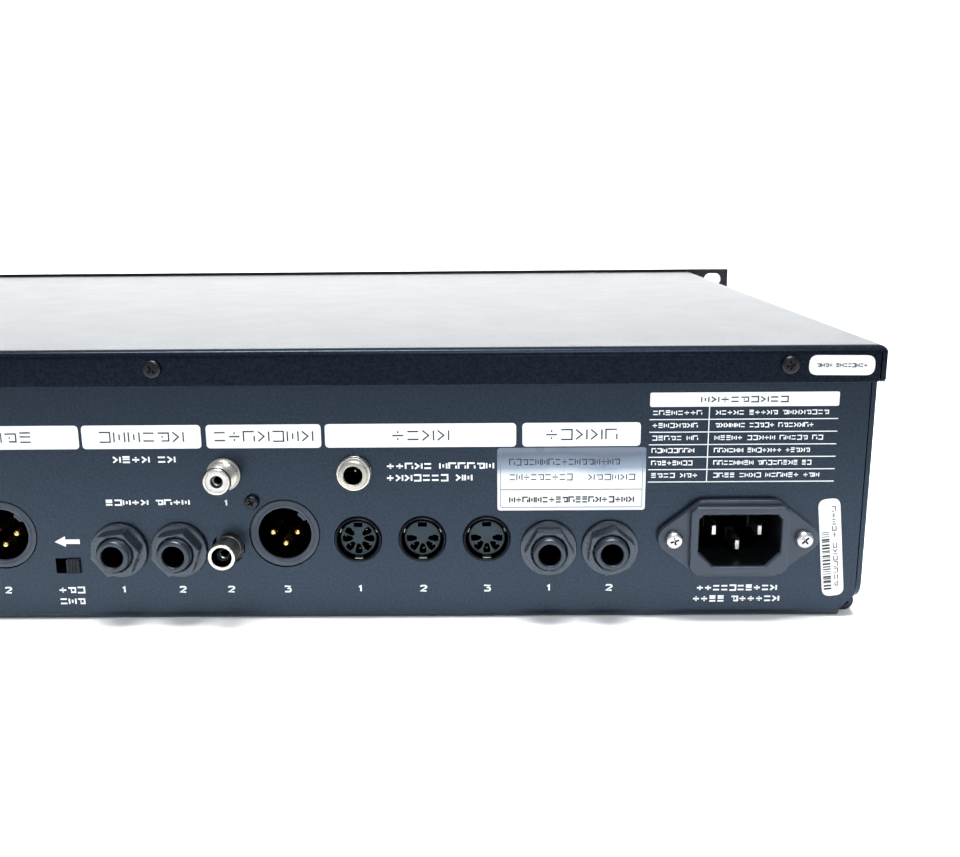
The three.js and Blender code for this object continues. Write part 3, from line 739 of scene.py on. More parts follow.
def chassis_tub():
    """Floor, side walls and front tabs: one sheet folded up, with a relief notch at each rear corner."""
    form = Form("chassis_tub", REAR)
    side_bend, notch, low = 3.0, 3.4, 3.6
    deep, relief = -DEPTH, -notch - 2
    floor_half = HALF - side_bend
    rear_half = floor_half - notch
    outline = [(-floor_half, deep), (floor_half, deep), (floor_half, relief), (rear_half, relief),
               (rear_half, -REAR_BEND), (-rear_half, -REAR_BEND), (-rear_half, relief), (-floor_half, relief)]
    form.local = LEVEL
    form.plate(COAT, [Vector(p) for p in outline], 0, SHEET, edge=0, back_edge=0)
    form.local = Matrix.Identity(4)
    section = bend_section(REAR_BEND, REAR_BEND, REAR_BEND)
    form.bar(COAT, [[(x, p.y, -p.x) for p in section] for x in (-rear_half, rear_half)])
    section = bend_section(side_bend, low, side_bend + 0.02)
    for side in (-1, 1):
        form.bar(COAT, [[(side * (HALF - p.x), p.y, z) for p in section] for z in (deep, relief)])

    holes = [circle(1.7, at, 20) for at in SIDE_SCREW_AT]
    holes += [rectangle(3, 32, (REAR_Y + 58.5 - 12 * i, 46), 0.9) for i in range(6)]
    corner = 6.5
    arc = [Vector((corner - corner * sin(t * pi / 12), low + 1.4 + corner - corner * cos(t * pi / 12)))
           for t in range(7)]
    outline = [Vector((DEPTH, low)), Vector((DEPTH, TOP)), Vector((0, TOP)), *arc[::-1],
               Vector((notch + 2, low))]
    for side in (-1, 1):
        form.local = on_side(side, HALF - SHEET / 2)
        form.plate(COAT, outline, -SHEET / 2, SHEET / 2, holes, edge=0.1, back_edge=0.05)
    form.local = Matrix.Identity(4)
    for side in (-1, 1):
        left, right = sorted((side * (HALF - 12), side * HALF))
        form.block(COAT, (left, low, deep), (right, TOP, deep + SHEET), 0.3)

    posts = [(x, y) for y in (20, 115) for x in (-200, -160)]
    posts += [(x, y) for y in (20, 145) for x in (-140, 30, 195)]
    for x, y in posts:
        form.local = Matrix.Translation((-x, SHEET, y - REAR_Y)) @ LEVEL
        form.lathe(STEEL, [(2.8, 0), (2.8, 5.6), (2.5, 6.1), (1.4, 6.1), (1.4, 2)], sides=24)
    return form.finish(replaces=("chassis",), slot="powder_coat", sharp=50)


def lid_cover():
    """The lid: a flat top whose rear and side edges are folded down over the chassis."""
    form = Form("lid_cover", REAR)
    bend, front, proud = 2.2, -DEPTH, LID_HIGH.y - REAR_Y
    top, low = LID_HIGH.z, LID_LOW.z
    section = []
    for radius, steps in ((bend, range(8)), (bend - SHEET, range(7, -1, -1))):
        for step in steps:
            angle = pi / 2 * step / 7
            section.append((bend - radius * cos(angle), top - bend + radius * sin(angle)))
    # The side, the y and whether it is mitred, for each corner of the folds.
    corners_at = ((-1, front, 0), (-1, proud, 1), (1, proud, 1), (1, front, 0))
    form.bar(LID_COAT, [[(side * (LID_HALF - inset), height, y - mitre * inset) for inset, height in section]
                        for side, y, mitre in corners_at])

    lap = 0.01 - bend  # the flat sheets run this far into the folds
    half, back, rise = LID_HALF + lap, proud + lap, top + lap
    form.local = Matrix(((1, 0, 0, 0), (0, 0, -1, top), (0, 1, 0, 0), (0, 0, 0, 1)))
    sheet = [Vector(p) for p in ((-half, front), (half, front), (half, back), (-half, back))]
    form.plate(LID_COAT, sheet, 0, SHEET, edge=0, back_edge=0)
    form.local = Matrix.Identity(4)
    flange = LID_HALF - SHEET - 0.25
    lower = rounded([(-flange, low + 3), (-flange, low), (flange, low), (flange, low + 3)], 1.1, 3,
                    closed=False)
    outline = [Vector((-flange, rise)), *lower, Vector((flange, rise))]
    holes = [circle(1.75, at, 24) for at in LID_SCREW_AT]
    form.plate(LID_COAT, outline, proud - SHEET, proud, holes, edge=0.3, steps=3, back_edge=0.05)
    outline = [Vector(p) for p in ((-proud, rise), (-proud, low + 1), (-proud + 1, low), (DEPTH, low),
                                   (DEPTH, rise))]
    holes = [circle(1.75, at, 24) for at in SIDE_SCREW_AT]
    for side in (-1, 1):
        form.local = on_side(side, LID_HALF - SHEET / 2)
        form.plate(LID_COAT, outline, -SHEET / 2, SHEET / 2, holes, edge=0.12, back_edge=0.05)
    return form.finish(replaces=("lid",), slot="powder_coat", sharp=50)


# ---------- rear connectors ----------
def three_pole_socket(name):
    """A male three-pole socket: its ring flush with the wall, and the well behind it."""
    at = XLR_AT[name]
    form = Form(f"{name}_shell", REAR, at)
    ring, well, floor = 10.8, 8.25, -15.8
    form.lathe(MOULDED, [(ring, INSIDE), (ring, -0.3), (ring - 0.1, -0.1), (ring - 0.35, 0.0), (9.5, 0.0),
                         (9.35, -0.12), (9.1, -0.12), (8.95, 0.0), (well + 0.35, 0.0), (well + 0.1, -0.1),
                         (well, -0.4)], sides=72)
    # The wall and floor of the well are painted shade.
    form.lathe(PAINTED_SHADE, [(well, -0.4), (well, floor + 0.6), (well - 0.6, floor), (0, floor)], sides=72)
    housing(form, MOULDED, 26, 13, HOUSING_FOOT - at[1], 1.2, -21.8, holes=[circle(8.6, sides=48)])
    return form.finish(replaces=(name,), slot="black_plastic", sharp=35)


def socket_key(name):
    """The key that sets a plug the right way round, on the wall of the well."""
    form = Form(f"{name}_key", REAR, XLR_AT[name])
    form.local = Matrix.Rotation(radians(45), 4, "Z")
    outline = rounded([(7.1, -1.5), (8.3, -1.7), (8.3, 1.7), (7.1, 1.5)], 0.4, 3)
    form.plate(MOULDED, outline, -13, -0.35, edge=0.25)
    return form.finish(slot="black_plastic")


def socket_pins(name):
    """Three gold-flashed pins, each in its collar, and the boss beside them."""
    form = Form(f"{name}_pins", REAR, XLR_AT[name])
    for x, y in ((-4.2, -0.3), (3.6, -0.3), (-0.3, -4.0)):
        # The collars round the pins, at the floor of the well, are painted shade.
        form.lathe(PAINTED_SHADE, [(1.9, -15.75), (1.9, -15.1), (1.7, -14.9), (1.2, -14.9)], (x, y), 24)
        form.lathe(GOLD, [(1.15, -15.6), (1.15, -2.9), (1.05, -2.3), (0.75, -1.9), (0.35, -1.65), (0, -1.6)],
                   (x, y), 24)
    # The boss beside the pins is painted shade.
    form.block(PAINTED_SHADE, (-2.2, 3.4, -15.7), (2.2, 6.0, -13.8), 0.3)
    return form.finish(slot="nickel")


# The places of the contacts round a socket, in degrees.
FIVE_POLES = (-90, -45, -135, 0, 180)
SEVEN_POLES = (*FIVE_POLES, 40, 140)


def din_socket(name, contacts):
    """A round multi-pole socket: rim, groove, and a grey insulator with a slot for each contact."""
    at = DIN_AT[name]
    form = Form(f"{name}_body", REAR, at)
    rim, groove, shell, face = 7.25, 6.6, 5.65, -1.0
    form.lathe(SOCKET, [(rim, INSIDE), (rim, 0.55), (rim - 0.12, 0.85), (rim - 0.4, 1.0), (6.85, 1.0),
                        (6.65, 0.8), (groove, 0.3)], sides=64)
    # The groove behind the rim is painted shade.
    form.lathe(PAINTED_SHADE, [(groove, 0.3), (groove, -6.6), (shell, -6.6), (shell, face - 0.4)], sides=64)
    drop = rounded([(1.75, -0.5), (3.6, -1.1), (4.95, -1.1), (4.95, 1.1), (3.6, 1.1), (1.75, 0.5)], 0.6, 3)
    slots = [turned_about(drop, radians(angle)) for angle in contacts]
    slots.append([Vector(p) for p in ((-1.4, 3.7), (1.4, 3.7), (1.4, 5.15), (-1.4, 5.15))])
    form.lathe(INSULATOR, [(shell, face - 0.4), (shell - 0.05, face - 0.15), (shell - 0.25, face)], sides=64)
    form.fill(INSULATOR, [circle(shell - 0.25, sides=64), *[slot[::-1] for slot in slots]], face)
    # The slots are lined and floored with painted shade.
    for slot in slots:
        form.skin(PAINTED_SHADE, [raised(slot, face), raised(slot, face - 4.0)])
        form.fill(PAINTED_SHADE, [slot], face - 4.0)
    opening = circle(6.75, sides=64)
    housing(form, SOCKET, 17.8, 8.9, HOUSING_FOOT - at[1], 0.9, -13.8, holes=[opening])
    form.fill(SOCKET, [opening], -13.0)
    return form.finish(replaces=(name,), slot="socket_black", sharp=35)


def din_contacts(name, contacts):
    """The sprung contacts inside the slots, and the earthing tab under the insulator."""
    form = Form(f"{name}_contacts", REAR, DIN_AT[name])
    for angle in contacts:
        form.local = Matrix.Rotation(radians(angle), 4, "Z")
        form.block(CONTACT, (2.6, -0.3, -4.9), (2.9, 0.3, -4.2), 0.08)
        form.block(CONTACT, (4.3, -0.35, -4.9), (4.6, 0.35, -4.0), 0.08)
    form.local = Matrix.Identity(4)
    form.block(SATIN_NICKEL, (-1.3, -6.4, -5.5), (1.3, -6.05, 0.2), 0.12)
    for side in (-1, 1):
        form.local = Matrix.Rotation(radians(90 + side * 68), 4, "Z")
        form.block(SATIN_NICKEL, (5.9, -0.7, -5.5), (6.25, 0.7, -1.6), 0.12)
    return form.finish(slot="nickel")


def phono_bolted():
    """The phono socket that is bolted to the wall, with a ribbed shell."""
    form = Form("phono_in_shell", REAR, PHONO_IN_AT)
    tip, back = 9.0, -11
    form.lathe(SATIN_NICKEL, [(4.8, back), (4.8, 0.0), (5.15, 0.05), (5.15, 0.5), (4.8, 0.62), (4.8, 1.5),
                              (4.55, 1.75)], sides=56)
    profile = [(4.55, 1.75), (4.55, 2.4)]
    for i in range(6):
        z, rib = 2.4 + i, 4.5 - 0.02 * i
        profile += [(4.2, z + 0.22), (4.2, z + 0.5), (rib, z + 0.72), (rib, z + 1.0)]
    profile += [(4.1, 7.7), (4.1, tip - 0.3), (3.95, tip - 0.06), (3.75, tip), (3.45, tip), (3.35, tip - 0.2),
                (3.35, tip - 0.5)]
    form.lathe(NICKEL, profile, sides=56)
    form.lathe(SATIN_NICKEL, [(4.8, back), (0, back)], sides=56)
    return form.finish(replaces=("phono_in_socket",), slot="nickel", sharp=30)


def phono_board():
    """The phono socket on the board: a smooth bright shell, open at its mouth."""
    form = Form("phono_out_shell", REAR, PHONO_OUT_AT)
    tip = 9.0
    form.lathe(SATIN_NICKEL, [(4.2, INSIDE), (4.2, 1.0), (4.05, 1.25), (4.05, 1.6), (4.2, 1.85),
                              (4.2, tip - 0.5)],
               sides=56)
    form.lathe(NICKEL, [(4.2, tip - 0.5), (4.1, tip - 0.12), (3.95, tip), (3.3, tip), (3.15, tip - 0.12),
                        (3.1, tip - 0.4)], sides=56)
    # The inside of the shell's mouth is painted shade.
    form.lathe(PAINTED_SHADE, [(3.1, tip - 0.4), (3.1, 4.2)], sides=56)
    housing(form, MOULDED, 8.8, 6, HOUSING_FOOT - PHONO_OUT_AT[1], 0.6, -13.8, edge=0.3)
    return form.finish(replaces=("phono_out_socket",), slot="nickel", sharp=30)


def phono_insulator(name, at, material, radius, face):
    """The insulator inside a phono socket, with its countersunk hole and the contact behind it."""
    form = Form(name, REAR, at)
    form.lathe(material, [(radius, face - 3), (radius, face - 0.15), (radius - 0.2, face), (2.1, face),
                          (1.95, face - 0.12)], sides=40)
    form.lathe(INSULATOR, [(1.95, face - 0.12), (1.7, face - 0.8), (1.6, face - 1.1)], sides=40)
    # The hole behind the countersink is painted shade.
    form.lathe(PAINTED_SHADE, [(1.6, face - 1.1), (1.6, face - 7), (0, face - 7)], sides=40)
    form.lathe(CONTACT, [(1.55, face - 1.6), (1.3, face - 1.8), (1.3, face - 4), (1.55, face - 4.2)],
               sides=24, wrap=True)
    return form.finish(slot="nickel")


def dc_socket():
    """The low-voltage socket: a threaded barrel and the ring nut that holds it."""
    form = Form("dc_power_shell", REAR, DC_AT)
    form.lathe(NICKEL, [(3.9, -13.8), (3.9, 0.1), (4.9, 0.3), (5.2, 0.3), (5.35, 0.5), (5.35, 1.0),
                        (5.2, 1.2), (5.35, 1.4), (5.35, 2.1), (5.1, 2.55), (4.75, 2.6)], sides=64)
    barrel = [(r, z + 2.6) for r, z in thread(4.45, 0.05, 1.0, 0.45, 0.16)]
    mouth = [(4.3, 3.85), (4.0, 4.0), (3.15, 4.0), (3.0, 3.9), (2.9, 3.6)]
    form.lathe(SATIN_NICKEL, [(4.75, 2.6), *barrel, *mouth], sides=64)
    # The bore is painted shade.
    form.lathe(PAINTED_SHADE, [(2.9, 3.6), (2.9, -8.8), (0, -8.8)], sides=48)
    form.lathe(SATIN_NICKEL, [(3.9, -13.8), (0, -13.8)], sides=48)
    return form.finish(replaces=("dc_power_socket",), slot="nickel", sharp=30)


def dc_pin():
    form = Form("dc_power_pin", REAR, DC_AT)
    form.lathe(CONTACT, [(1.0, -8.7), (1.0, -2.4), (0.85, -2.0), (0.5, -1.7), (0, -1.6)], sides=28)
    return form.finish(slot="nickel")


INLET_SCREW_REACH = 20.0


def inlet_outline():
    """The inlet's flange: a box with a round ear for the screw at each side."""
    ear, points = 4.8, []
    for side, start in ((1, -60), (-1, 120)):
        for step in range(0, 121, 10):
            angle = radians(start + step)
            points.append(Vector((side * INLET_SCREW_REACH + ear * cos(angle), ear * sin(angle))))
        points += [Vector((side * x, side * y))
                   for x, y in ((12, 12.2), (9.5, 12.4), (-9.5, 12.4), (-12, 12.2))]
    return points


def recess_outline(grow=0.0):
    """The keyed outline of the inlet's recess, its lower corners cut off."""
    return clipped_box(12.5 + grow, 8.2 + grow, 4.6 + grow * 0.4, 1.3 + grow * 0.4, 0.7)


def mains_socket():
    """The mains inlet: eared flange, raised shroud with a soft step, and its keyed recess."""
    form = Form("mains_inlet_body", REAR, INLET_AT)
    recess, mouth, floor = recess_outline(), recess_outline(0.25), -15
    shroud = clipped_box(15.1, 10.8, 1.7, 1.7, 0.8)
    holes = [circle(1.8, (side * INLET_SCREW_REACH, 0), 24) for side in (-1, 1)] + [moved_in(shroud, 0.4)]
    form.plate(MOULDED, rounded(inlet_outline(), 1.2, 2), 0.3, 2.6, holes, edge=0.35, steps=3, back_edge=0.1)
    form.plate(MOULDED, shroud, 2.0, 4.8, [mouth], edge=0.45, steps=3, back_edge=0)
    form.skin(MOULDED, [raised(mouth, 4.5), raised(recess, 4.1)])
    form.skin(SOCKET, [raised(recess, 4.1), raised(recess, floor)])
    # The floor of the recess is painted shade.
    form.fill(PAINTED_SHADE, [recess], floor)
    form.plate(MOULDED, rectangle(27.2, 20, (0, 0), 1.0), -24, 0.4, [recess_outline(0.3)], edge=0.3)
    return form.finish(replaces=("mains_inlet",), slot="black_plastic", sharp=35)


def inlet_blades():
    """The three flat blades of the inlet, their tips bevelled."""
    form = Form("mains_inlet_blades", REAR, INLET_AT)
    foot, shoulder, tip = -15, -5.0, -3.9
    for x, y in ((-6.2, 0.7), (8.2, 0.6), (1.3, -4.2)):
        outline = rectangle(2.0, 4.0, (x, y), 0.35, 3)
        end = [Vector((x + (p.x - x) * 0.55, y + (p.y - y) * 0.72)) for p in outline]
        form.skin(CONTACT, [raised(outline, foot), raised(outline, shoulder), raised(end, tip)])
        form.fill(CONTACT, [end], tip)
        form.block(SOCKET, (x - 1.5, y - 2.5, -14.98), (x + 1.5, y + 2.5, -14.3), 0.3)
    return form.finish(slot="nickel")


def lift_switch():
    """The housing and the slider of the ground-lift switch."""
    form = Form("lift_switch_frame", REAR, LIFT_AT)
    form.plate(SOCKET, rectangle(13.4, 9.4, (0, 0), 0.8), -8.8, INSIDE, [rectangle(8.4, 5.4, (0, 0), 0.4)],
               edge=0.3)
    # A sheet of painted shade behind the switch's opening.
    form.fill(PAINTED_SHADE, [rectangle(9.0, 6.0)], -7.3)
    for side in (-1, 1):
        form.block(SATIN_NICKEL, (side * 6.9 - 0.25, -3, -7.5), (side * 6.9 + 0.25, 3, -2.2), 0.1)
    form.finish(replaces=("lift_switch_housing",), slot="socket_black")
    low, high = corners("lift_switch_slider")
    middle = (-(low.x + high.x) / 2, (low.z + high.z) / 2)
    form = Form("lift_switch_thumb", REAR, middle)
    form.plate(SOCKET, rectangle(7, 5.1, (0, 0), 0.4), -7, -4.2, edge=0.2)
    ridges = [(-2.0 + i * 0.5, 1.55 if i % 2 else 1.0) for i in range(9)]
    section = [(-2.0, -4.4), *ridges, (2.0, -4.4)]
    form.bar(RUBBER, [[(x, y, z) for x, z in section] for y in (-2.2, 2.2)])
    return form.finish("lift_switch_slider_body", ("lift_switch_slider",), "socket_black", sharp=30)


def side_screws():
    """The screws that hold the lid's side flanges to the chassis."""
    rng = random.Random(11)
    for side, word in ((-1, "left"), (1, "right")):
        for i, (depth, height) in enumerate(SIDE_SCREW_AT, 1):
            face = Matrix(((0, 0, side, side * LID_HALF), (side, 0, 0, REAR_Y - depth), (0, 1, 0, height),
                           (0, 0, 0, 1)))
            pan_screw(f"lid_side_screw_{word}_{i}", face, (0, 0), 0.03, 2.6, 0.8, BLACK_ZINC,
                      rng.uniform(0, 1.5), slot="black_screw")


# ---------- legends on the rear wall ----------
HEADER_Z = (56.1, 63.5)  # the lower and upper edge of the header boxes
ON_WHITE = INK_RISE + 0.09  # the height of dark marks on a white box


def header(form, left, right, marks, rng):
    """A white box with rounded corners, holding a row of dark marks."""
    x, y = (left + right) / 2, sum(HEADER_Z) / 2
    printed(form, rectangle(right - left, HEADER_Z[1] - HEADER_Z[0], (x, y), 1.3, 5))
    row = [rng.choice(MARKS) for _ in range(marks)]
    reach = marks * 2.15
    write(form, DARK_INK, row, (x - reach, y - 1.75), 3.5, 0.42, ON_WHITE, x + reach, 0.03)


def rear_legends():
    """The white print: headers, rows of marks, the numbers of the ports, an arrow and a ruled table."""
    rng = random.Random(4)
    form = Form("rear_legends", REAR)
    for left, right, marks in ((-76, -25.0, 5), (-24.0, 12.6, 6), (14.2, 49.4, 7), (50.6, 109.0, 4),
                               (110.9, 146.9, 5), (-205, -158, 5), (-156.5, -112, 6), (-110.5, -78, 5)):
        header(form, left, right, marks, rng)
    for left, right, low, high, count in (
            (-15, 4, 51.5, 53.8, 7), (-18.5, 7.4, 37.9, 39.9, 10), (69.3, 102.0, 49.0, 51.2, 12),
            (69.2, 95.3, 45.2, 47.5, 10), (166, 190.9, 8.8, 10.9, 10), (164.9, 191.8, 5.1, 7.3, 11),
            (-35.9, -28.0, 8.9, 11.2, 3), (-35.9, -28.3, 5.1, 7.4, 3), (-100, -72, 46, 48, 9)):
        write(form, INK, murmur(rng, count), (left, low), high - low, 0.5, INK_RISE, right)

    size, weight = 2.3, 0.52
    for row in (("input_left", "input_right"), ("return_left", "return_right"), ("send_left", "send_right"),
                ("output_left_xlr", "output_right_xlr"), DIN_NAMES, ("pedal_1", "pedal_2")):
        for number, name in enumerate(row, 1):
            numeral(form, number, (PORT_AT[name][0], PORT_NUMBER_Z), size, weight)
    numeral(form, 1, (PHONO_IN_AT[0], 38.6), 2.0, 0.45)
    numeral(form, 2, (PHONO_OUT_AT[0], PORT_NUMBER_Z), size, weight)
    numeral(form, 3, (XLR_AT["digital_out_xlr"][0], PORT_NUMBER_Z), size, weight)

    tip, neck, tail, middle = -35.8, -32.4, -27.9, 26.2
    arrow = [(tip, middle), (neck, 28.0), (neck, 26.95), (tail, 26.95), (tail, 25.45), (neck, 25.45),
             (neck, 24.5)]
    printed(form, [Vector(p) for p in arrow])
    ruled_table(form, rng, (149.5, 44.6), (206.5, 72.6))
    return form.finish(slot="powder_coat")


def ruled_table(form, rng, low, high):
    """A plain table of marks under a filled heading bar, with thin rules between its rows."""
    heading, rows, rule = 4.4, 6, 0.28
    wide, middle = high[0] - low[0], (low[0] + high[0]) / 2
    printed(form, rectangle(wide, heading, (middle, high[1] - heading / 2), 0.6, 3))
    marks = [rng.choice(MARKS) for _ in range(9)]
    base = high[1] - heading / 2 - 1.0
    write(form, DARK_INK, marks, (middle - 13, base), 2.0, 0.4, ON_WHITE, middle + 13, 0.03)
    step = (high[1] - heading - low[1]) / rows
    for row in range(rows):
        base = low[1] + row * step
        printed(form, rectangle(wide, rule, (middle, base)), edge=0)
        for left, reach, count in ((low[0] + 1.0, 15.0, 8), (low[0] + 20.0, 35.5, 20)):
            right = left + reach * rng.uniform(0.8, 1.0)
            write(form, INK, murmur(rng, count), (left, base + 1.3), 1.55, 0.3, INK_RISE, right)
    printed(form, rectangle(rule, step * rows, (low[0] + 18.0, low[1] + step * rows / 2)), edge=0)


def sticker(name, at, wide, high, radius, film, turn=0.0, lift=0.05):
    """A blank film label, laid on the wall. Its caller adds what is printed on it."""
    form = Form(name, REAR, at, lift)
    form.local = Matrix.Rotation(turn, 4, "Z")
    form.plate(film, rectangle(wide, high, (0, 0), radius, 6), 0, 0.09, edge=0.04, steps=1)
    return form


def stickers():
    """The three film labels: a lavender one, a slanting one with random bars, and one on the lid's flange."""
    rng = random.Random(7)
    z = 0.11  # the height of what is printed on the film
    flat = {"z": z, "thick": 0.02, "edge": 0}
    form = sticker("rating_label", (126.0, 45.7), 45.6, 20.0, 1.0, FOIL)
    border = rectangle(43.8, 18.2, (0, 0), 0.5, 3)
    printed(form, border, [moved_in(border, 0.22)], GREY_PRINT, **flat)
    for left, right, low, size, count, weight in (
            (-19.0, 14.6, 4.4, 2.2, 17, 0.32), (-19.0, 0.2, -0.4, 2.2, 9, 0.3),
            (5.2, 19.4, -0.4, 2.0, 6, 0.3), (-19.0, 19.2, -7.6, 2.1, 19, 0.45)):
        marks = [rng.choice(MARKS) for _ in range(count)]
        write(form, PRINT, marks, (left, low), size, weight, z + 0.02, right, 0.02)
    printed(form, rectangle(43.4, 0.22, (0, -3.3)), (), PRINT, **flat)
    form.finish(slot="powder_coat")

    form = sticker("serial_label", (207.2, 23.0), 6.8, 32.0, 2.6, FILM, radians(6))
    y = -13.5
    while y < 12:
        width = rng.choice((0.22, 0.22, 0.4, 0.6))
        if y < 5.5:
            printed(form, rectangle(2.4, width, (-1.6, y)), (), PRINT, **flat)
        y += width + rng.choice((0.25, 0.4, 0.55))
    form.local = form.local @ Matrix.Rotation(radians(-90), 4, "Z")
    write(form, PRINT, murmur(rng, 13), (-13.4, 0.55), 1.35, 0.28, z + 0.02, 12.6, 0.02)
    form.finish(slot="powder_coat")

    flange_face = LID_HIGH.y - REAR_Y
    form = sticker("origin_label", (205.9, 80.9), 19.6, 6.0, 2.6, FILM, radians(-0.6), flange_face + 0.03)
    write(form, PRINT, murmur(rng, 13), (-7.4, -0.65), 1.3, 0.28, z + 0.02, 7.4, 0.02)
    form.finish(slot="powder_coat")


# ---------- front ----------
POWER_AT = on_front("power_switch_body")
DISPLAY_AT = on_front("display_window")
WHEEL_AT = on_front("wheel_encoder")
KNOB_NAMES = ["input_level_knob", "output_1_knob", "output_2_knob"]
BUTTON_NAMES = ["page_left_button", "page_right_button", "exit_button", "cursor_down_button",
                "cursor_up_button", "enter_button"]
FRONT_JACK_AT = on_front("instrument_jack_nut")
PANEL_THICK = 3.2
EAR_FROM = 221.3  # the ears start this far from the middle
RACK_SLOT_AT = (232.55, 38.1)  # from the middle of the panel


def front_plate():
    """The thick front panel, its rack slots and its openings, with soft-broken edges."""
    form = Form("front_plate", FRONT)
    half, top = PANEL_HIGH.x, PANEL_HIGH.z
    slots = []
    for x in (-RACK_SLOT_AT[0], RACK_SLOT_AT[0]):
        for y in (top / 2 - RACK_SLOT_AT[1], top / 2 + RACK_SLOT_AT[1]):
            slots.append([Vector((x + end * 1.5 + 3.5 * cos(radians(a)), y + 3.5 * sin(radians(a))))
                          for end, start in ((1, -90), (-1, 90)) for a in range(start, start + 181, 15)])
    holes = [*slots, rectangle(110, 54, DISPLAY_AT, 1.2), rectangle(13.2, 19.2, POWER_AT, 0.6)]
    holes += [circle(5.5, FRONT_JACK_AT), circle(3.6, WHEEL_AT, 32)]
    holes += [circle(3.6, on_front(name), 32) for name in KNOB_NAMES]
    holes += [rectangle(12.6, 8.6, on_front(name), 0.9) for name in BUTTON_NAMES]
    outline = rectangle(2 * half, top, (0, top / 2), 0.9, 4)
    form.plate(BRUSHED, outline, -PANEL_THICK, 0, holes, edge=0.45, steps=3, back_edge=0.2)
    for side in (-1, 1):
        ear = rectangle(half - EAR_FROM, top, (side * (half + EAR_FROM) / 2, top / 2), 0.6, 2)
        ear_slots = [slot for slot in slots if slot[0].x * side > 0]
        form.plate(BRUSHED, ear, -PANEL_THICK - 0.5, -PANEL_THICK + 0.01, ear_slots, edge=0, back_edge=0.2)
    return form.finish(replaces=("front_panel",), slot="anodised_panel", sharp=40)


def panel_screws():
    """Countersunk screws that hold the front panel to the chassis tabs."""
    rng = random.Random(3)
    for side, word in ((-1, "left"), (1, "right")):
        for i, height in enumerate((12, 76), 1):
            pan_screw(f"panel_screw_{word}_{i}", FRONT, (side * 211.5, height), 0.03, 2.7, 0.9, BLACK_ZINC,
                      rng.uniform(0, 1.5), slot="black_screw")


def display():
    """The tinted window in its bezel, and the lit segments of a plain level display behind it."""
    form = Form("display_glass", FRONT, DISPLAY_AT)
    form.plate(GLASS, rectangle(109.4, 53.4, (0, 0), 1.0), -2.6, -0.4, edge=0.3, steps=3)
    form.finish(replaces=("display_window",), slot="smoked_window")
    form = Form("display_segments", FRONT, DISPLAY_AT)
    rng = random.Random(21)
    cells = [rectangle(3.2, 7.2, (-46 + i * 4.0, middle), 0.3, 2) for lit, middle in ((17, 12.6), (14, 0.6))
             for i in range(lit)]
    for i in range(16):
        height = 1.2 + 5.5 * abs(sin(i * 0.5)) * rng.uniform(0.6, 1.0)
        cells.append(rectangle(4.4, height, (-45 + i * 6.0, -21 + height / 2), 0.2, 1))
    for cell in cells:
        form.plate(SEGMENT, cell, -0.37, -0.33, edge=0)
    form.finish(slot="smoked_window")
    form = Form("display_board", FRONT, DISPLAY_AT)
    form.plate(BOARD, rectangle(116, 60, (0, 0), 1.0), -10.0, -8.2, edge=0.1)
    form.plate(SATIN_NICKEL, rectangle(114, 58, (0, 0), 1.0), -8.2, -3.5, edge=0.6, steps=3)
    form.finish(replaces=("display_module",), slot="circuit_board")


def spindle(form, node):
    """The shaft that a knob turns on, as long as the knob's CAD node reaches back."""
    back = FRONT_Y - corners(node)[1].y
    form.lathe(SATIN_NICKEL, [(3.0, 1.2), (3.0, back + 0.1), (2.8, back), (0, back)], sides=32)


def level_knob(name):
    """A fluted knob with a skirt, a domed cap and a pointer line filled with white."""
    form = Form(f"{name}_cap", FRONT, on_front(name))
    tip, face = 15.0, 14.78
    levels = ((2.9, 1.0), (7.9, 1.0), (8.2, 1.25), (8.2, 2.3), (8.0, 2.6), (7.45, 2.95), (7.3, 3.3, 0.3),
              (7.2, 6, 0.45), (7.0, 12, 0.45), (6.9, 13.9, 0.35), (6.65, 14.6, 0.1), (6.2, tip - 0.02),
              (5.9, tip - 0.08), (5.6, face))
    rings = [fluted(30, 120, *level) for level in levels]
    form.skin(KNOB, rings)
    slot, floor = rectangle(0.9, 4.6, (0, 3.0), 0.3, 3), tip - 0.5
    form.fill(KNOB, [[p.to_2d() for p in rings[-1]], slot[::-1]], face)
    form.skin(KNOB, [raised(slot, face), raised(slot, floor)])
    form.fill(INK, [slot], floor)
    spindle(form, name)
    return form.finish(f"{name}_body", (name,), "knob_metal", sharp=32)


def value_wheel():
    """The value wheel: a knurled rim, a dished face and a finger dimple."""
    form = Form("value_wheel_disc", FRONT, WHEEL_AT)
    r = 23.0
    levels = ((2.9, 1.0), (r - 0.8, 1.0), (r, 1.8), (r, 2.6), (r, 2.9, 0.5), (r, 10.2, 0.5), (r, 10.5),
              (r, 11.0), (r - 0.45, 11.75), (r - 1.2, 12.35), (r - 1.9, 12.6))
    rim = [fluted(80, 240, *level) for level in levels]
    radii = [19.4, *[18.2 - i for i in range(14)], 4, 2.6, 1.2]
    dish = [fluted(80, 240, 20.4, 12.6)]
    dish += [fluted(80, 240, radius, 12.35 + 0.01 * radius) for radius in radii] + [[Vector((0, 0, 12.35))]]
    # The dimple is where a ball of this radius, its middle this high, would press into the face.
    dimple, ball, ball_up = Vector((0, r * 0.58)), 9.0, 19.6
    for point in [point for ring in dish for point in ring]:
        reach = (point.to_2d() - dimple).length
        if reach < 5.9:
            point.z = min(point.z, ball_up - sqrt(ball ** 2 - reach ** 2))
        elif reach < 6.7:
            point.z += 0.06 * (6.7 - reach)
    form.skin(KNOB, rim + dish)
    spindle(form, "value_wheel")
    return form.finish("value_wheel_body", ("value_wheel",), "knob_metal", sharp=32)


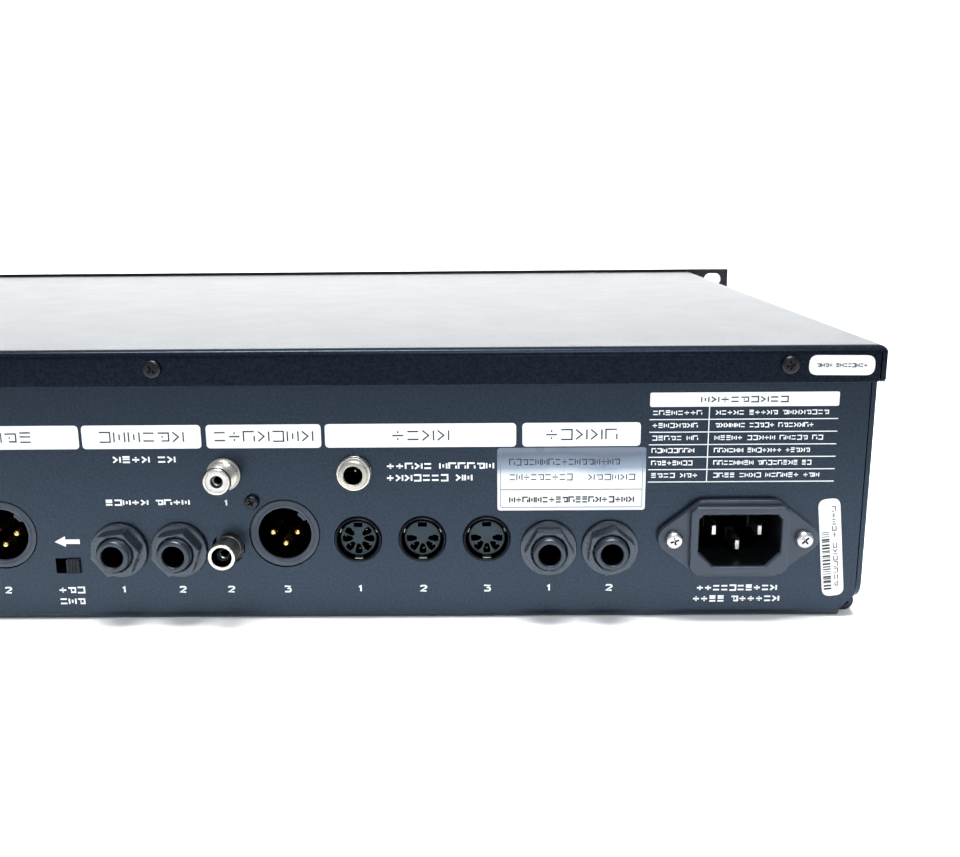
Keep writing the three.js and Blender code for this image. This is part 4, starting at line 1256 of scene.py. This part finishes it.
def key_button(name):
    """A soft-touch key with a shallow dish, its retaining flange and its stem."""
    form = Form(f"{name}_key", FRONT, on_front(name))
    outline = rectangle(12, 8, (0, 0), 1.2, 5)

    def shrunk(inset):
        return [Vector((p.x * (1 - inset / 6.4), p.y * (1 - inset / 4.4))) for p in outline]

    rings = [raised(moved_in(outline, inset), z) for inset, z in (
        (0.0, -4.0), (0.0, 1.1), (0.08, 1.5), (0.28, 1.8), (0.6, 1.97))]
    rings += [raised(shrunk(inset), z) for inset, z in ((1.0, 2.0), (1.6, 1.93), (2.4, 1.84))]
    form.skin(RUBBER, rings)
    form.fill(RUBBER, [shrunk(2.4)], 1.84)
    form.plate(RUBBER, rectangle(15, 11, (0, 0), 1.0), -5.0, -3.5, edge=0.2)
    form.plate(MOULDED, rectangle(3, 3, (0, 0), 0.4), -6.5, -5.0, edge=0.1)
    return form.finish(f"{name}_body", (name,), "black_plastic", sharp=45)


def power_switch():
    """The power switch: its frame and terminals, and the rocker with an off and an on mark."""
    form = Form("power_switch_frame", FRONT, POWER_AT)
    mouth, well = rectangle(10.8, 17.2, (0, 0), 0.5), rectangle(11.2, 17.6, (0, 0), 0.4)
    form.plate(MOULDED, rectangle(16, 22, (0, 0), 1.4, 6), 0.3, 1.8, [mouth], edge=0.5, steps=3,
               back_edge=0.1)
    form.plate(MOULDED, rectangle(12.6, 18.6, (0, 0), 0.6), -24, 0.35, [well], edge=0.1)
    # A sheet of painted shade at the bottom of the well.
    form.fill(PAINTED_SHADE, [well], -9)
    for y in (-5, 0, 5):
        form.block(CONTACT, (-2.4, y - 0.4, -23.8), (2.4, y + 0.4, -23.9), 0.1)
    form.finish(replaces=("power_switch_body",), slot="socket_black")

    form = Form("power_rocker_cap", FRONT, POWER_AT, -0.5)
    half, wide, valley, rise = 7.8, 10.0, 2.1, 1.6
    side = rounded([(-half, -2.7), (-half, valley + rise), (0, valley), (half, valley + rise), (half, -2.7),
                    (4, -5.0), (-4, -5.0)], 0.55, 4)
    tip = Matrix.Rotation(radians(8), 4, "X")
    across = Matrix(((0, 0, 1, 0), (1, 0, 0, 0), (0, 1, 0, 0), (0, 0, 0, 1)))
    form.local = tip @ across
    form.plate(MOULDED, side, -wide / 2, wide / 2, edge=0.35, steps=3)
    for y, mark, holes in ((4.3, rectangle(0.5, 2.3), ()),
                           (-4.3, circle(1.25, sides=32), [circle(0.8, sides=32)])):
        height = valley + rise * abs(y) / half + 0.02
        angle = atan(rise / half) * (1 if y > 0 else -1)
        form.local = tip @ Matrix.Translation((0, y, height)) @ Matrix.Rotation(angle, 4, "X")
        form.plate(INK, mark, 0, 0.03, holes, edge=0)
    form.local = across
    form.lathe(MOULDED, [(0, -5.7), (1.05, -5.7), (1.2, -5.55), (1.2, 5.55), (1.05, 5.7), (0, 5.7)], sides=24)
    return form.finish("power_rocker_body", ("power_rocker",), "black_plastic", sharp=35)


def pointer(turn):
    """A small triangle that points the way its key moves."""
    return turned_about([(-0.9, -1.15), (1.15, 0), (-0.9, 1.15)], radians(turn))


def ticks(form, at, angles, near, far, every):
    """Short strokes round a dial, each fifth one drawn longer."""
    for i, angle in enumerate(angles):
        out = Vector((cos(radians(angle)), sin(radians(angle))))
        form.ribbon(INK, [at + out * near, at + out * (far if i % 5 == 0 else every)], 0.35, INK_RISE)


def front_legends():
    """Dial numbers and ticks, and a plain symbol under each key."""
    form = Form("front_legends", FRONT)
    for name in KNOB_NAMES:
        at = Vector(on_front(name))
        angles = [240 - step * 30 for step in range(11)]
        ticks(form, at, angles, 9.6, 11.4, 10.7)
        for number in range(0, 11, 2):
            angle = radians(angles[number])
            numeral(form, number, at + Vector((cos(angle), sin(angle))) * 13.6, 1.6, 0.28)
    symbols = {"page_left_button": pointer(180), "page_right_button": pointer(0),
               "cursor_up_button": pointer(90),
               "cursor_down_button": pointer(-90), "exit_button": rectangle(1.9, 1.9),
               "enter_button": circle(1.0, sides=24)}
    for name, outline in symbols.items():
        at = Vector(on_front(name)) - Vector((0, 6.6))
        printed(form, [at + p for p in outline])
    ring = circle(1.5, (FRONT_JACK_AT[0] + 14.5, FRONT_JACK_AT[1]), 32)
    printed(form, ring, [moved_in(ring, 0.35)])
    ticks(form, Vector(WHEEL_AT), [225 - step * 9 for step in range(31)], 25.2, 27.2, 26.4)
    return form.finish(slot="anodised_panel")


# ---------- inside ----------
def chip(form, at, wide, deep, high=1.6, legs=10):
    """A chip with its legs along two sides."""
    x, y = at
    form.block(SOCKET, (x - wide / 2, y - deep / 2, 0.1), (x + wide / 2, y + deep / 2, high), 0.2)
    for side in (-1, 1):
        near, far = sorted((y + side * deep / 2, y + side * (deep / 2 + 1.1)))
        for i in range(legs):
            leg = x - wide / 2 + wide * (i + 0.5) / legs
            form.block(CONTACT, (leg - 0.2, near, 0.02), (leg + 0.2, far, 0.5), 0)


def populated_board(name, node, rng, chips, cans):
    """A circuit board with chips and electrolytic cans standing on it."""
    low, high = corners(node)
    form = Form(name, Matrix.Translation((0, 0, high.z)))
    middle = ((low.x + high.x) / 2, (low.y + high.y) / 2)
    form.plate(BOARD, rectangle(high.x - low.x, high.y - low.y, middle, 1.0), low.z - high.z, 0, edge=0.1)
    for _ in range(chips):
        at = rng.uniform(low.x + 15, high.x - 15), rng.uniform(low.y + 10, high.y - 60)
        chip(form, at, rng.choice((8, 12, 18)), rng.choice((6, 8, 12)))
    for _ in range(cans):
        at = rng.uniform(low.x + 8, high.x - 8), rng.uniform(low.y + 8, high.y - 45)
        r = rng.uniform(2.4, 5)
        tall = r * 2.4
        form.lathe(SOCKET, [(r, 0.1), (r, tall - 0.5), (r - 0.5, tall)], at, 28)
        form.lathe(CAST, [(r - 0.5, tall), (0, tall)], at, 28)
    return form.finish(replaces=(node,), slot="circuit_board")


def transformer_winding():
    """The copper winding that shows at the front and the back of the transformer's core."""
    low, high = corners("power_transformer")
    form = Form("transformer_winding", Matrix.Translation((low + high) / 2))
    for side in (-1, 1):
        rows = []
        for turn in range(13):
            for y, rise in ((11.5, -0.35), (12.3, 0), (11.5, 0.35)):
                z = turn * 1.5 - 9 + rise
                rows.append([(-11, side * y, z), (11, side * y, z)])
        form.skin(COPPER, rows, closed=False)
    return form.finish(slot="circuit_board")


def paint_carried_over():
    """CAD nodes that stay in view get the same node materials."""
    for node, material in (("processor_heatsink", CAST), ("power_heatsink", CAST),
                           ("power_transformer", FERRITE),
                           ("wheel_encoder", SOCKET), ("control_board", BOARD)):
        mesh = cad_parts[node]
        mesh.data.materials.clear()
        mesh.data.materials.append(material)
        bevel = mesh.modifiers.new("Soft edges", "BEVEL")
        bevel.width = 0.2 * MM
        bevel.segments = 2


# ---------- the set ----------
BACKDROP_GLOW = 1.85


def pale_floor():
    paint = Paint("pale_floor", Roughness=0.7, Specular_IOR_Level=0.2)
    cloud = paint.noise(1.5, 3)
    paint.set("Base_Color", paint.blend(cloud, (0.3, (0.9, 0.9, 0.9)), (0.7, (0.93, 0.93, 0.93))))
    paint.bump(paint.noise(60, 3), 0.0002, 0.1)
    return paint.material


def glowing_backdrop():
    paint = Paint("glowing_backdrop", Roughness=1.0, Specular_IOR_Level=0.0)
    cloud = paint.noise(0.4, 1)
    paint.set("Base_Color", paint.blend(cloud, (0.0, (0.9, 0.9, 0.9)), (1.0, (0.95, 0.95, 0.95))))
    paint.set("Emission_Color", (1.0, 1.0, 0.99))
    paint.set("Emission_Strength", paint.spread(cloud, BACKDROP_GLOW, BACKDROP_GLOW * 1.05))
    return paint.material


def studio(name, material, rows):
    """A sheet of the set, given as rows of corners in metres. It isn't part of the object."""
    mesh = bpy.data.meshes.new(name)
    faces = [(2 * i, 2 * i + 1, 2 * i + 3, 2 * i + 2) for i in range(len(rows) - 1)]
    mesh.from_pydata([corner for row in rows for corner in row], [], faces)
    mesh.materials.append(material)
    sheet = bpy.data.objects.new(name, mesh)
    bpy.context.scene.collection.objects.link(sheet)


def build_set():
    """The floor, and an upright glowing sheet beyond the unit."""
    below = -0.00002  # just under the object's base
    studio("studio_floor", pale_floor(), [[(-6, 4, below), (6, 4, below)],
                                          [(-6, -2.2, below), (6, -2.2, below)]])
    wall = [(-2.6, -2.2, below), (2.6, -2.2, below)]
    studio("studio_backdrop", glowing_backdrop(), [wall, [(x, y, 0.95) for x, y, _ in wall]])


# Its place in millimetres, its angles in radians and its focal length.
CAMERA = {"x": -101.16, "behind": 298.27, "z": 130.51, "pitch": 0.2263, "yaw": -0.0106, "roll": 0.0086,
          "lens": 37.69}


def camera():
    """The camera: behind the unit, a little above it and turned slightly down."""
    data = bpy.data.cameras.new("camera")
    data.lens, data.sensor_width = CAMERA["lens"], 36
    data.clip_start, data.clip_end = 0.01, 30
    made = bpy.data.objects.new("camera", data)
    bpy.context.scene.collection.objects.link(made)
    pitch, yaw, roll = CAMERA["pitch"], CAMERA["yaw"], CAMERA["roll"]
    forward = Vector((-cos(pitch) * sin(yaw), -cos(pitch) * cos(yaw), -sin(pitch)))
    right = Vector((-cos(yaw), sin(yaw), 0))
    up = Vector((-sin(pitch) * sin(yaw), -sin(pitch) * cos(yaw), cos(pitch)))
    right, up = cos(roll) * right - sin(roll) * up, sin(roll) * right + cos(roll) * up
    turn = Matrix((right, up, -forward)).transposed().to_4x4()
    place = Vector((CAMERA["x"], REAR_Y + CAMERA["behind"], CAMERA["z"])) * MM
    made.matrix_world = Matrix.Translation(place) @ turn
    bpy.context.scene.camera = made


def area_light(name, place, target, size, power, colour=(1, 1, 1), spread=180):
    data = bpy.data.lights.new(name, "AREA")
    data.shape, data.size, data.size_y = "RECTANGLE", size[0], size[1]
    data.energy, data.color, data.spread = power, colour, radians(spread)
    made = bpy.data.objects.new(name, data)
    bpy.context.scene.collection.objects.link(made)
    made.location = place
    made.rotation_euler = (Vector(target) - Vector(place)).to_track_quat("-Z", "Y").to_euler()
    return made


def lights():
    """A soft sky, a wide box over the space behind the unit, and a key above the camera."""
    world = bpy.data.worlds.new("studio")
    bpy.context.scene.world = world
    world.use_nodes = True
    nodes, links = world.node_tree.nodes, world.node_tree.links
    axes, height = nodes.new("ShaderNodeSeparateXYZ"), nodes.new("ShaderNodeMapRange")
    links.new(nodes.new("ShaderNodeTexCoord").outputs["Generated"], axes.inputs[0])
    links.new(axes.outputs["Z"], height.inputs["Value"])
    for key, value in (("From Min", 0.0), ("From Max", 0.95), ("To Min", 0.46), ("To Max", 0.5)):
        height.inputs[key].default_value = value
    sky = nodes["Background"]
    sky.inputs["Color"].default_value = (0.82, 0.91, 1.0, 1)
    links.new(height.outputs[0], sky.inputs["Strength"])
    area_light("overhead_box", (0, -0.74, 0.95), (0, -0.74, 0), (3.4, 2.14), 50, (1, 1, 1), 38)
    area_light("key_above_camera", (-0.25, 1.3, 1.05), (-0.05, 0.15, 0.05), (0.55, 0.4), 9, (0.97, 0.99, 1.0))


# ---------- putting it together ----------
def build_rear():
    rear_wall()
    chassis_tub()
    lid_cover()
    for name, turn in zip(JACK_NAMES, (12, -8, 25, 5, -22, -20, 30, -10)):
        at = JACK_AT[name]
        quarter_inch_jack(f"{name}_socket", REAR, at, INSIDE, HOUSING_FOOT - at[1], f"{name}_jack")
        hex_nut(f"{name}_hex", REAR, at, radians(turn), f"{name}_nut")
    for name in XLR_NAMES:
        three_pole_socket(name)
        socket_key(name)
        socket_pins(name)
    for name, contacts in zip(DIN_NAMES, (SEVEN_POLES, FIVE_POLES, FIVE_POLES)):
        din_socket(name, contacts)
        din_contacts(name, contacts)
    phono_bolted()
    phono_board()
    phono_insulator("phono_in_insulator", PHONO_IN_AT, WHITE_NYLON, 3.35, 8.75)
    # The black insulator deep in this shell is drawn in painted shade: partly its own black, partly the shade
    # inside the shell.
    phono_insulator("phono_out_insulator", PHONO_OUT_AT, PAINTED_SHADE, 3.05, 6.8)
    dc_socket()
    dc_pin()
    mains_socket()
    inlet_blades()
    lift_switch()
    screws = [(f"lid_screw_{i}", at, 2.1, 2.75, 0.9, BLACK_ZINC, turn, "black_screw")
              for i, at, turn in zip((1, 2, 3), LID_SCREW_AT, (0.35, 0.7, 0.2))]
    screws.append(("xlr_screw", XLR_SCREW_AT, 0.3, 2.3, 1.7, BLACK_ZINC, 0.5, "black_screw"))
    screws += [(f"inlet_screw_{i}", at, 2.9, 2.8, 1.9, CHROME, turn, "zinc")
               for i, at, turn in zip((1, 2), INLET_SCREW_AT, (0.3, 0.75))]
    for name, at, lift, head, rise, metal, turn, slot in screws:
        pan_screw(f"{name}_head", REAR, at, lift, head, rise, metal, turn, replaces=(name,), slot=slot)
    side_screws()
    rear_legends()
    stickers()


def build_front():
    front_plate()
    panel_screws()
    display()
    for name in KNOB_NAMES:
        level_knob(name)
    value_wheel()
    for name in BUTTON_NAMES:
        key_button(name)
    power_switch()
    quarter_inch_jack("instrument_socket", FRONT, FRONT_JACK_AT, -3.5, -11.7, "instrument_jack")
    hex_nut("instrument_hex", FRONT, FRONT_JACK_AT, radians(15), "instrument_jack_nut")
    front_legends()


def build_inside():
    rng = random.Random(5)
    populated_board("main_circuit_board", "main_board", rng, 14, 12)
    populated_board("power_circuit_board", "power_board", rng, 1, 5)
    transformer_winding()
    paint_carried_over()


build_rear()
build_front()
build_inside()

build_set()
camera()
lights()
bpy.context.scene.view_settings.view_transform = "Standard"
bpy.context.scene.cycles.use_denoising = True
